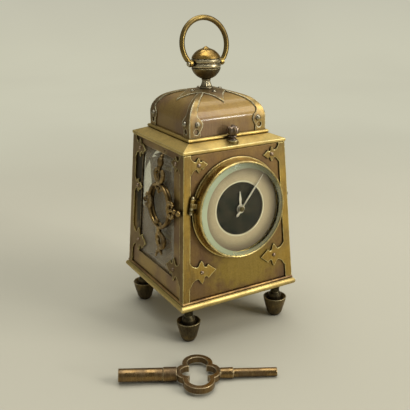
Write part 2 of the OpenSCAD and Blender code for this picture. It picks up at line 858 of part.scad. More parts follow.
// Runs over the four rivets of the star, Z square to the crown
module star_rivet_places() {
    for (turn = [0:3]) rotate([0, 0, 90*turn]) translate([0, 0, crown_z - dome_crown_r])
        rotate([asin(star_rivet_at/dome_crown_r), 0, 0]) translate([0, 0, dome_crown_r]) children();
}

module dome_rivet_places() {
    strap_rivet_places() children();
    star_rivet_places() children();
}

module dome_rivet(r) {
    union() {
        translate([0, 0, strap_t + 0.05]) rivet_head(r);
        translate([0, 0, -dome_wall]) cylinder(r=rivet_shank_r, h=dome_wall + strap_t + 0.1);
    }
}

module dome_rivets() {
    color("silver") {
        strap_rivet_places() dome_rivet(lobe_rivet_r);
        star_rivet_places() dome_rivet(rivet_r);
    }
}

module dome_star() {
    waist = star_waist/sqrt(2);
    color("darkkhaki") difference() {
        intersection() {
            dome_skin();
            translate([0, 0, dome_z]) linear_extrude(dome_h + 2) polygon([for (turn = [0:3]) for (p = [
                [star_reach, 0], star_shoulder, [waist, waist], [star_shoulder[1], star_shoulder[0]]
            ]) [p[0]*cos(90*turn) - p[1]*sin(90*turn), p[0]*sin(90*turn) + p[1]*cos(90*turn)]]);
        }
        translate([0, 0, crown_z - 1]) cylinder(r=stud_r + run_gap, h=3);
        star_rivet_places() translate([0, 0, -1]) cylinder(r=rivet_shank_r + run_gap, h=3);
    }
}

// Finial
module bored(r) {
    difference() {
        children();
        translate([0, 0, crown_z - 5]) cylinder(r=r, h=14 + cap_z - crown_z);
    }
}

module finial_neck() {
    flare_r = 7;
    color("darkgray") difference() {
        translate([0, 0, neck_z]) cylinder(r=neck_foot_r, h=neck_h);
        translate([0, 0, bowl_z - 0.4])
            rotate_extrude() translate([neck_top_r + flare_r, 0]) circle(flare_r);
        translate([0, 0, neck_z - 1]) cylinder(r=stud_r + run_gap, h=neck_h + 2);
    }
}

module finial_bowl() {
    ball = (pow(belt_r - 0.2, 2) + bowl_h*bowl_h)/(2*bowl_h);
    color("darkslategray") difference() {
        intersection() {
            translate([0, 0, bowl_z + ball - 0.35]) sphere(ball);
            translate([0, 0, bowl_z]) cylinder(r=belt_r - 0.2, h=bowl_h);
        }
        translate([0, 0, bowl_z - 1]) cylinder(r=stud_r + run_gap, h=bowl_h + 2);
    }
}

module finial_belt() {
    bead = belt_h/4;
    color("silver") union() {
        difference() {
            union() {
                translate([0, 0, belt_z]) cylinder(r=belt_r - 0.6*bead, h=belt_h);
                for (z = [belt_z + bead, cap_z - bead]) translate([0, 0, z])
                    rotate_extrude() translate([belt_r - bead, 0]) circle(bead);
            }
            translate([0, 0, belt_z - 1]) cylinder(r=stud_r + run_gap, h=belt_h + 2);
        }
        for (side = [-1, 1]) translate([side*(belt_r - bead), 0, hinge_z]) rotate([0, 90*side, 0]) {
            cylinder(r=eye_bore_r - run_gap, h=lug_end - belt_r + bead);
            translate([0, 0, lug_end - belt_r + bead - 0.5]) cylinder(r=eye_head_r, h=0.6);
        }
    }
}

module finial_cap() {
    ball_h = cap_h - 0.8;
    ball = (cap_r*cap_r + ball_h*ball_h)/(2*ball_h);
    color("goldenrod") difference() {
        union() {
            intersection() {
                translate([0, 0, cap_z + ball_h - ball]) sphere(ball);
                translate([0, 0, cap_z]) cylinder(r=cap_r, h=cap_h);
            }
            translate([0, 0, cap_z + ball_h - 0.5]) cylinder(r1=2.2, r2=0.3, h=1.3);
        }
        translate([0, 0, cap_z - 1]) cylinder(r=stud_r + run_gap, h=3.4);
    }
}

module finial_stud() {
    color("goldenrod") union() {
        translate([0, 0, crown_z - dome_wall - 2.4])
            cylinder(r=stud_r, h=cap_z + 4.4 - crown_z + dome_wall);
        translate([0, 0, crown_z - dome_wall - 2]) cylinder(r=3.2, h=1.9, $fn=6);
    }
}

module ring_handle() {
    start = asin(ring_up/ring_r);
    color("darkgoldenrod") translate([0, 0, hinge_z]) rotate([-ring_lean, 0, 0]) difference() {
        union() {
            difference() {
                translate([0, 0, ring_up]) rotate([90, 0, 0]) rotate([0, 0, -start])
                    rotate_extrude(angle=180 + 2*start) translate([ring_r, 0]) circle(ring_wire_r);
                translate([-eye_in, -5, -5]) cube([2*eye_in, 10, 6.6]);
            }
            for (side = [-1, 1]) translate([side*(eye_in + eye_out)/2, 0, 0]) rotate([0, 90, 0])
                cylinder(r=eye_r, h=eye_out - eye_in, center=true);
        }
        rotate([0, 90, 0]) cylinder(r=eye_bore_r, h=4*eye_out, center=true);
        for (side = [-1, 1]) translate([side*(eye_out + 2), 0, 0]) rotate([0, 90, 0])
            cylinder(r=eye_head_r + 0.15, h=4, center=true);
    }
}

// Push button in the top plate
module at_button() {
    translate([0, -button_y, 0]) children();
}

module push_button() {
    neck = button_head_z - button_shoulder_z - button_head_r + 0.3;
    color("saddlebrown") at_button() union() {
        translate([0, 0, top_z - 1.2]) cylinder(r=button_rod_r, h=button_head_z - top_z + 1.2);
        translate([0, 0, top_z - 0.6]) cylinder(r=0.85, h=0.6);
        translate([0, 0, button_shoulder_z]) cylinder(r=button_shoulder_r, h=0.7);
        translate([0, 0, button_shoulder_z + 0.7]) cylinder(r1=button_shoulder_r, r2=1.2, h=neck);
        translate([0, 0, button_head_z]) sphere(button_head_r);
    }
}

module button_bush() {
    color("goldenrod") at_button() difference() {
        translate([0, 0, top_z + 0.05]) cylinder(r=bush_r, h=bush_top - top_z - 0.05);
        translate([0, 0, bush_floor]) cylinder(r=button_shoulder_r + run_gap, h=bush_top);
        translate([0, 0, top_z - 1]) cylinder(r=button_rod_r + run_gap, h=10);
    }
}

// Point k of the ring of points round the spring's wire at step s
spring_steps = 16;
spring_sides = 6;
function spring_point(s, k) =
    let (turn = 360*s/spring_steps,
         rise = (button_shoulder_z - bush_floor - 2*spring_wire_r - 0.1)/(spring_turns*spring_steps),
         side = 360*k/spring_sides,
         r = spring_r + spring_wire_r*cos(side))
    [r*cos(turn), r*sin(turn), spring_wire_r + 0.05 + rise*s + spring_wire_r*sin(side)];

module button_spring() {
    n = spring_turns*spring_steps;
    points = [for (s = [0:n]) for (k = [0:spring_sides - 1]) spring_point(s, k)];
    walls = [for (s = [0:n - 1]) for (k = [0:spring_sides - 1]) let (j = (k + 1) % spring_sides)
        each [[s*spring_sides + k, s*spring_sides + j, (s + 1)*spring_sides + j],
              [s*spring_sides + k, (s + 1)*spring_sides + j, (s + 1)*spring_sides + k]]];
    first = [for (k = [spring_sides - 1:-1:0]) k];
    last = [for (k = [0:spring_sides - 1]) n*spring_sides + k];
    color("silver") at_button() translate([0, 0, bush_floor])
        polyhedron(points, concat([first], walls, [last]));
}

// Bezel and dial
module at_bezel_hinge() {
    at_dial() rotate([0, 0, -bezel_hinge_turn]) translate([-bezel_pin_at, 0, bezel_pin_out]) children();
}

bezel_mid = 2.2;
bezel_end = 1.8;

module bezel_seat() {
    shift = (bezel_mid + bezel_end)/2 + knuckle_gap;
    color("goldenrod") union() {
        at_dial() rotate_extrude() {
            union() {
                translate([seat_bore_r, -sheet_t]) square([seat_r - seat_bore_r, seat_t]);
                translate([dial_r + 0.2, -sheet_t]) square([seat_collar_r - dial_r - 0.2, sheet_t + 2.3]);
                translate([seat_bore_r, -sheet_t])
                    square([seat_collar_r - seat_bore_r, sheet_t + dial_back]);
            }
        }
        at_bezel_hinge() for (side = [-1, 1]) {
            difference() {
                translate([0, side*shift - bezel_end/2, 0.02 - bezel_pin_out])
                    cube([bezel_pin_at - bezel_foot_r - 0.15, bezel_end, bezel_pin_out]);
                translate([0, side*shift, 0]) rotate([90, 0, 0])
                    cylinder(r=bezel_knuckle_r - 0.1, h=bezel_end + 1, center=true);
            }
            knuckle(side*shift, bezel_end, bezel_knuckle_r, hinge_pin_r + run_gap);
        }
    }
}

module bezel_ring() {
    lip_in = glass_r - 0.35;
    color("goldenrod") union() {
        at_dial() rotate_extrude() polygon([
            [bezel_bore_r, bezel_back], [bezel_foot_r, bezel_back], [bezel_foot_r, bezel_back + 0.5],
            [bezel_foot_r - 0.3, bezel_back + 1.1], [bezel_lip_r, bezel_h - 0.5],
            [bezel_lip_r - 0.25, bezel_h], [lip_in + 0.3, bezel_h], [lip_in, glass_in + glass_edge_t + 0.02],
            [glass_r + 0.05, glass_in + glass_edge_t + 0.02], [glass_r + 0.05, glass_in - 0.02],
            [bezel_bore_r, glass_in - 0.02]
        ]);
        at_bezel_hinge() {
            difference() {
                translate([0, -bezel_mid/2, -0.5])
                    cube([bezel_pin_at - bezel_foot_r + 0.5, bezel_mid, 1.1]);
                rotate([90, 0, 0]) cylinder(r=bezel_knuckle_r - 0.1, h=bezel_mid + 1, center=true);
            }
            knuckle(0, bezel_mid, bezel_knuckle_r, hinge_pin_r + run_gap);
        }
    }
}

module bezel_hinge_pin() {
    reach = bezel_mid/2 + knuckle_gap + bezel_end;
    color("silver") at_bezel_hinge() union() {
        rotate([90, 0, 0]) cylinder(r=hinge_pin_r, h=2*reach + 1.2, center=true);
        for (side = [-1, 1]) translate([0, side*(reach + ball_rise(bezel_ball_r)), 0]) sphere(bezel_ball_r);
    }
}

module bezel_glass() {
    flat_r = glass_r - glass_bevel;
    color("paleturquoise", 0.4) at_dial() union() {
        translate([0, 0, glass_in]) cylinder(r=glass_r, h=glass_edge_t);
        translate([0, 0, glass_in + glass_edge_t]) cylinder(r1=glass_r - 0.4, r2=flat_r, h=glass_rise);
    }
}

module chapter_ring() {
    color("tan") at_dial() difference() {
        translate([0, 0, dial_back]) cylinder(r=dial_r, h=dial_out - dial_back);
        translate([0, 0, dial_out - 0.4]) cylinder(r=dial_centre_r + dial_groove, h=1);
        translate([0, 0, dial_back - 1]) cylinder(r=hour_pipe_r + 0.3, h=4);
    }
}

module dial_centre() {
    color("black") at_dial() difference() {
        translate([0, 0, dial_out - 0.4]) cylinder(r=dial_centre_r, h=0.3);
        translate([0, 0, dial_out - 1]) cylinder(r=hour_pipe_r + 0.3, h=2);
    }
}

// A blade that widens from the hub to a shoulder, then tapers to the tip
module blade(length, hub_r, tail, wide) {
    union() {
        circle(hub_r);
        polygon([
            [0.35, 0], [wide, 0.55*length], [0.12, length], [-0.12, length], [-wide, 0.55*length],
            [-0.35, 0], [-wide - 0.3, -0.8*tail], [0, -tail], [wide + 0.3, -0.8*tail]
        ]);
    }
}

module hour_hand() {
    color("tan") at_dial() rotate([0, 0, -hour_turn]) translate([0, 0, hour_out]) linear_extrude(hand_t)
        difference() {
            blade(hour_len, 2.2, 0.1, 0.75);
            circle(hour_pipe_r + 0.02);
        }
}

module minute_hand() {
    color("silver") at_dial() rotate([0, 0, -minute_turn]) translate([0, 0, minute_out])
        linear_extrude(hand_t) difference() {
            blade(minute_len, 1.5, 4.6, 0.45);
            circle(arbor_r + 0.02);
        }
}

module hand_nut() {
    color("goldenrod") at_dial() translate([0, 0, minute_out + hand_t]) difference() {
        cylinder(r=1.25, h=nut_h - 0.1);
        translate([0, 0, -1]) cylinder(r=arbor_r + 0.02, h=3);
    }
}

// Movement
function gear_points(teeth, size, phase) = [
    for (i = [0:teeth - 1]) for (p = [[-0.27, -1.1], [-0.12, 0.7], [0.12, 0.7], [0.27, -1.1]])
        polar(size*(teeth/2 + p[1]), 360*(i + p[0])/teeth + phase)
];

module gear(teeth, size, thick, phase, bore) {
    linear_extrude(thick) difference() {
        polygon(gear_points(teeth, size, phase));
        circle(bore);
    }
}

// A wheel with its rim, four crossings and hub
module wheel(teeth, size, thick, phase, bore) {
    rim = size*(teeth/2 - 1.1) - 1;
    linear_extrude(thick) difference() {
        polygon(gear_points(teeth, size, phase));
        difference() {
            circle(rim);
            circle(0.32*rim);
            for (angle = [0, 90]) rotate(angle) square([3*rim, 0.22*rim], center=true);
        }
        circle(bore);
    }
}

// Phase that puts a tooth of one wheel between two teeth of a wheel placed from it at an angle
function mesh_phase(place, teeth, mate_teeth, mate_phase) =
    place + 180 + 180/teeth + (mate_phase - place)*-mate_teeth/teeth;

module plate_outline() {
    translate([0, -plate_drop]) square([plate_w, plate_h], center=true);
}

module pillar_places() {
    for (x = [-pillar_x, pillar_x]) for (y = [pillar_up, -pillar_down]) translate([x, y]) children();
}

module front_plate() {
    color("khaki") at_dial() union() {
        translate([0, 0, front_plate_out - plate_t]) linear_extrude(plate_t) difference() {
            plate_outline();
            pillar_places() circle(pillar_rod_r + run_gap);
            circle(arbor_r + run_gap);
            translate(barrel_at) circle(pillar_rod_r + run_gap);
            translate(third_at) circle(third_arbor_r + run_gap);
        }
        translate(concat(minute_at, [front_plate_out - 0.2])) cylinder(r=minute_stud_r, h=2.4);
    }
}

module back_plate() {
    color("khaki") at_dial() translate([0, 0, back_plate_out - plate_t])
        linear_extrude(plate_t) difference() {
            plate_outline();
            pillar_places() circle(pillar_rod_r + run_gap);
            circle(setting_r + run_gap);
            translate(barrel_at) circle(winding_r + run_gap);
            translate(third_at) circle(third_arbor_r + run_gap);
        }
}

module plate_pillars() {
    color("goldenrod") at_dial() pillar_places() union() {
        translate([0, 0, back_plate_out]) cylinder(r=pillar_r, h=plate_space);
        translate([0, 0, back_plate_out - plate_t - 0.6])
            cylinder(r=pillar_rod_r, h=plate_space + 2*plate_t + motion_space + 0.6);
    }
}

module barrel() {
    back = great_out - barrel_h;
    color("khaki") at_dial() translate(barrel_at) difference() {
        union() {
            translate([0, 0, great_out])
                gear(great_teeth, great_module, 1.5*wheel_t, barrel_phase, winding_r + run_gap);
            translate([0, 0, back]) cylinder(r=barrel_r, h=barrel_h + 0.1);
        }
        translate([0, 0, back - 1]) cylinder(r=winding_r + run_gap, h=barrel_h + 4);
        translate([0, 0, back + barrel_wall]) cylinder(r=barrel_r - barrel_wall, h=barrel_h - 2*barrel_wall);
    }
}

barrel_phase = mesh_phase(barrel_place, great_teeth, pinion_teeth, 0);
third_phase = mesh_phase(third_place, pinion_teeth, centre_teeth, 0);
minute_phase = mesh_phase(minute_place, minute_teeth, cannon_teeth, 0);
minute_leaf_phase = 0;
hour_phase = mesh_phase(minute_place + 180, hour_teeth, minute_leaf_teeth, minute_leaf_phase);

module winding_arbor() {
    back = back_plate_out - plate_t - square_reach;
    color("silver") at_dial() translate(barrel_at) union() {
        translate([0, 0, back_plate_out - plate_t - 0.8])
            cylinder(r=winding_r, h=great_out - back_plate_out + plate_t + 3.4);
        translate([0, 0, great_out]) cylinder(r=pillar_rod_r, h=front_plate_out - great_out - 0.1);
        translate([-winding_square/2, -winding_square/2, back])
            cube([winding_square, winding_square, square_reach]);
    }
}

module centre_wheel() {
    back = back_plate_out - plate_t - square_reach;
    pinion_out = great_out - 0.4;
    color("goldenrod") at_dial() union() {
        translate([0, 0, pinion_out - 0.1]) cylinder(r=arbor_r, h=minute_out + hand_t + nut_h - pinion_out);
        translate([0, 0, back_plate_out - plate_t - 0.8])
            cylinder(r=setting_r, h=pinion_out + plate_t + 0.8 - back_plate_out);
        translate([-setting_square/2, -setting_square/2, back])
            cube([setting_square, setting_square, square_reach]);
        translate([0, 0, pinion_out]) gear(pinion_teeth, great_module, 2, 0, arbor_r - 0.1);
        translate([0, 0, centre_out]) wheel(centre_teeth, train_module, wheel_t, 0, arbor_r - 0.1);
        translate([0, 0, motion_out]) gear(cannon_teeth, train_module, wheel_t, 0, arbor_r - 0.1);
    }
}

module third_wheel() {
    color("goldenrod") at_dial() translate(third_at) union() {
        translate([0, 0, back_plate_out - plate_t + 0.1])
            cylinder(r=third_arbor_r, h=front_plate_out - back_plate_out + plate_t - 0.2);
        translate([0, 0, centre_out - 0.6])
            gear(pinion_teeth, train_module, wheel_t + 1.2, third_phase, third_arbor_r - 0.1);
        translate([0, 0, third_out]) wheel(third_teeth, train_module, wheel_t, 0, third_arbor_r - 0.1);
    }
}

module minute_wheel() {
    color("khaki") at_dial() translate(minute_at) union() {
        translate([0, 0, motion_out])
            gear(minute_teeth, train_module, wheel_t, minute_phase, minute_stud_r + run_gap);
        translate([0, 0, motion_out + wheel_t - 0.1])
            gear(minute_leaf_teeth, train_module, 1.1, minute_leaf_phase, minute_stud_r + run_gap);
    }
}

module hour_wheel() {
    color("khaki") at_dial() difference() {
        union() {
            translate([0, 0, hour_wheel_out])
                gear(hour_teeth, train_module, wheel_t, hour_phase, hour_pipe_bore);
            translate([0, 0, hour_wheel_out]) cylinder(r=hour_pipe_r, h=hour_out + hand_t - hour_wheel_out);
        }
        translate([0, 0, hour_wheel_out - 1]) cylinder(r=hour_pipe_bore, h=10);
    }
}

module balance_bridge() {
    plate = back_plate_out - plate_t;
    corner = bridge_size/2 - 1.8;
    color("lightgray") at_dial() translate(concat(balance_at, [0])) difference() {
        union() {
            translate([-bridge_size/2, -bridge_size/2, plate - bridge_t])
                cube([bridge_size, bridge_size, bridge_t]);
            translate([corner, corner, plate - bridge_t - cock_depth])
                cylinder(r=1.7, h=cock_depth + 0.1);
            rotate([0, 0, 45]) translate([-1.8, -1.3, plate - bridge_t - cock_depth])
                cube([corner*sqrt(2) + 1.8, 2.6, 0.8]);
        }
        translate([0, 0, plate - bridge_t - cock_depth - 1])
            cylinder(r=staff_r + run_gap, h=cock_depth + 3);
    }
}

module balance_wheel() {
    low = back_plate_out - plate_t - bridge_t - cock_depth;
    color("goldenrod") at_dial() translate(concat(balance_at, [low])) union() {
        translate([0, 0, 0.1]) cylinder(r=staff_r, h=cock_depth + bridge_t - 0.3);
        translate([0, 0, 1.2]) cylinder(r=0.8, h=2.2);
        translate([0, 0, 1.9]) linear_extrude(0.8) {
            difference() {
                circle(balance_r);
                circle(balance_r - 1);
            }
            difference() {
                square([2*balance_r - 1, 1], center=true);
                circle(staff_r - 0.1);
            }
        }
    }
}

// Winding key: it rests on the floor on its collars, the thin end a little lower
module key_bow() {
    lobe_r = 7.1;
    side_r = 6.1;
    across = bow_half_across - lobe_r;
    along = bow_half_along - side_r;
    module lobes(inset) {
        union() {
            for (side = [-1, 1]) {
                translate([0, side*across]) circle(lobe_r - inset);
                translate([side*along, 0]) circle(side_r - inset);
            }
            polygon([[along, 0], [0, across], [-along, 0], [0, -across]]);
        }
    }
    difference() {
        lobes(0);
        lobes(bow_bar);
    }
}

module winding_key() {
    left = key_bow_at - bow_half_along;
    right = key_bow_at + bow_half_along;
    module along(x, r1, r2, length) {
        translate([x, 0, 0]) rotate([0, 90, 0]) cylinder(r1=r1, r2=r2, h=length);
    }
    color("sienna") translate([key_end[0], key_end[1], key_lift]) rotate([0, 0, key_direction])
        translate([left, 0, 0]) rotate([0, key_tilt, 0]) translate([-left, 0, 0]) difference() {
            union() {
                along(0, key_wind_r, key_wind_r, left - 1);
                along(left - key_collar_len, key_collar_r, key_collar_r, key_collar_len + 0.6);
                translate([key_bow_at, 0, -bow_t/2]) linear_extrude(bow_t) key_bow();
                along(right - 0.6, 2.4, 2.6, key_collar_len + 0.6);
                along(right + 4, key_set_r, key_set_r, key_len - right - 4);
            }
            translate([-1, -winding_square/2 - run_gap, -winding_square/2 - run_gap])
                cube([key_bore_depth + 1, winding_square + 2*run_gap, winding_square + 2*run_gap]);
            translate([key_len - key_bore_depth, -setting_square/2 - run_gap, -setting_square/2 - run_gap])
                cube([key_bore_depth + 1, setting_square + 2*run_gap, setting_square + 2*run_gap]);
        }
}

base_moulding();
base_bead();
foot(0);  // foot_front_left
foot(1);  // foot_front_right
foot(2);  // foot_back_right
foot(3);  // foot_back_left
post_front_left();
post_front_right();
post_back_right();
post_back_left();
front_panel();
strap_rivets();
side_frame(1);  // side_frame_right
side_frame(3);  // side_frame_left
side_pane(1);  // side_pane_right
side_pane(3);  // side_pane_left
side_cross(1);  // side_cross_right
side_cross(3);  // side_cross_left
back_door();
door_pane();
door_knob();
door_hinge_pins();
top_plate();
dome_base();
dome_shell();
dome_straps();
dome_star();
dome_rivets();
finial_stud();
finial_neck();
finial_bowl();
finial_belt();
finial_cap();
ring_handle();
push_button();
button_spring();
button_bush();
bezel_seat();
bezel_ring();
bezel_glass();
bezel_hinge_pin();
chapter_ring();
dial_centre();
hour_hand();
minute_hand();
hand_nut();
front_plate();
back_plate();
plate_pillars();
barrel();
winding_arbor();
centre_wheel();
third_wheel();
minute_wheel();
hour_wheel();
balance_bridge();
balance_wheel();
winding_key();
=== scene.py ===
"""Looks of a small brass clock in a lantern-shaped case and of its winding key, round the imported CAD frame."""

import json
import logging
import math
from dataclasses import dataclass, field
from enum import Enum
from typing import Any

import bmesh
import bpy
from mathutils import Matrix, Vector

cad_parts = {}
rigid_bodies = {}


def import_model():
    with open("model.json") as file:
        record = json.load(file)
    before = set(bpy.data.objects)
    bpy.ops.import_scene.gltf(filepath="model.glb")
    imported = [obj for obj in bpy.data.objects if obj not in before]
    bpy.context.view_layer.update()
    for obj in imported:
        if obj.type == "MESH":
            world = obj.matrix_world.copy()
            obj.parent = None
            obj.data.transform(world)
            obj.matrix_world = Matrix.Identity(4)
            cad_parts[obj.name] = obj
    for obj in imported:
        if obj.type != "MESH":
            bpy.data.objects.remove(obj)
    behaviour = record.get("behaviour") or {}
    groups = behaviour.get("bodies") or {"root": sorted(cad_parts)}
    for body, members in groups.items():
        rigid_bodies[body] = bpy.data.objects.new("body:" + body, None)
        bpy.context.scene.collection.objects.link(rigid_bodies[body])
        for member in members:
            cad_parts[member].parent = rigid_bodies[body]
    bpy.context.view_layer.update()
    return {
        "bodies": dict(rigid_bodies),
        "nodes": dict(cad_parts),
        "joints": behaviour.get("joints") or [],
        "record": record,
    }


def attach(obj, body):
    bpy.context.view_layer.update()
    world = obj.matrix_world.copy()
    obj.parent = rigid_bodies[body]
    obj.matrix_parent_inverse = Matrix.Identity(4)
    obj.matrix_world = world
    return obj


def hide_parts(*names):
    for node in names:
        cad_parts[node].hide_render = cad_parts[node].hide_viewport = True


LOG = logging.getLogger("lantern_clock")

# One millimetre in metres, a quarter turn in radians, and the depth of fine surface marks in metres.
MM = 0.001
QUARTER = math.radians(90)
RELIEF = 0.0001

# The photograph's side and focal length in pixels, and the camera's sensor in millimetres.
IMAGE_SIDE = 410.0
FOCAL_PIXELS = 645.382
SENSOR_WIDTH = 36.0

# The curve from screen colours to linear ones.
SRGB_KNEE, SRGB_SLOPE, SRGB_OFFSET, SRGB_SCALE, SRGB_POWER = 0.04045, 12.92, 0.055, 1.055, 2.4

# The numbers of the sockets that a Mix node uses for colours.
MIX_FACTOR, MIX_LOW, MIX_HIGH, MIX_RESULT = 0, 6, 7, 2

# Points nearer than this are joined: in a finished mesh in metres, in a turned shape in millimetres.
JOIN_FINISHED, JOIN_TURNED = 1e-7, 1e-5

Colour = tuple[float, float, float]
Triple = tuple[float, float, float]
Socket = bpy.types.NodeSocket


def srgb(code: str) -> Colour:
    """Turns a hexadecimal screen colour into the linear colour that shaders use.

    Args:
        code: six hexadecimal digits.

    Returns:
        Red, green and blue, linear.
    """
    parts = [int(code[k : k + 2], 16) / 255 for k in (0, 2, 4)]
    return tuple(
        c / SRGB_SLOPE if c <= SRGB_KNEE else ((c + SRGB_OFFSET) / SRGB_SCALE) ** SRGB_POWER for c in parts
    )


def shown(name: str, data: Any) -> bpy.types.Object:
    """Makes an object and puts it in the scene.

    Args:
        name: its name.
        data: its mesh, light or camera.

    Returns:
        The object.
    """
    item = bpy.data.objects.new(name, data)
    bpy.context.scene.collection.objects.link(item)
    return item


class Graph:
    """A node tree with short calls for adding nodes and joining their sockets."""

    def __init__(self, tree: bpy.types.NodeTree) -> None:
        """Wraps a node tree."""
        self.tree = tree

    def add(self, kind: str, inputs: dict[Any, Any] | None = None, **settings: Any) -> bpy.types.Node:
        """Adds a node.

        Args:
            kind: the node's type without its ShaderNode prefix.
            inputs: values or sockets for its inputs, by name or number.
            settings: attributes of the node.

        Returns:
            The new node.
        """
        node = self.tree.nodes.new("ShaderNode" + kind)
        for name, value in settings.items():
            setattr(node, name, value)
        for name, value in (inputs or {}).items():
            self.feed(node.inputs[name], value)
        return node

    def feed(self, socket: Socket, value: Any) -> None:
        """Joins a socket to another, or sets its value.

        Args:
            socket: the input.
            value: another socket, a number, a vector or a colour.
        """
        if isinstance(value, bpy.types.NodeSocket):
            self.tree.links.new(value, socket)
        elif isinstance(value, tuple) and len(value) == 3 and socket.type == "RGBA":
            socket.default_value = (*value, 1.0)
        else:
            socket.default_value = value

    def blend(self, mask: Any, low: Any, high: Any) -> Socket:
        """Mixes two colours by a mask.

        Args:
            mask: the share of the second colour.
            low: the first colour.
            high: the second colour.

        Returns:
            The mixed colour.
        """
        node = self.add("Mix", data_type="RGBA")
        for number, value in ((MIX_FACTOR, mask), (MIX_LOW, low), (MIX_HIGH, high)):
            self.feed(node.inputs[number], value)
        return node.outputs[MIX_RESULT]

    def math(self, operation: str, first: Any, second: Any = 0.0, clamp: bool = True) -> Socket:
        """Adds a maths node, whose result is kept between 0 and 1 if clamp is set, and gives the result."""
        return self.add("Math", {0: first, 1: second}, operation=operation, use_clamp=clamp).outputs[0]

    def measure(self, operation: str, *vectors: Any) -> Socket:
        """Adds a vector maths node that works out a number, and gives the number."""
        return self.add("VectorMath", dict(enumerate(vectors)), operation=operation).outputs["Value"]

    def spread(self, value: Any, low: Any, high: Any, to_low: float = 0.0, to_high: float = 1.0) -> Socket:
        """Maps a value from one range to another with soft ends, and gives the result."""
        inputs = {"Value": value, 1: low, 2: high, 3: to_low, 4: to_high}
        return self.add("MapRange", inputs, interpolation_type="SMOOTHSTEP").outputs[0]

    def noise(self, vector: Any, scale: Any, detail: float = 3.0, rough: float = 0.55) -> Socket:
        """Adds a noise texture and gives its value."""
        inputs = {"Vector": vector, "Scale": scale, "Detail": detail, "Roughness": rough}
        return self.add("TexNoise", inputs).outputs[0]


class Surface(Graph):
    """The node tree of a material, with its Object coordinates."""

    def __init__(self, tree: bpy.types.NodeTree) -> None:
        """Empties the tree and adds the coordinates."""
        super().__init__(tree)
        tree.nodes.clear()
        self.place = self.add("TexCoord").outputs["Object"]

    def group(self, tree: bpy.types.NodeTree, **values: Any) -> Any:
        """Adds a node group that reads the coordinates, with values for its other inputs, and gives its outputs."""
        return self.add("Group", {"Vector": self.place, **values}, node_tree=tree).outputs


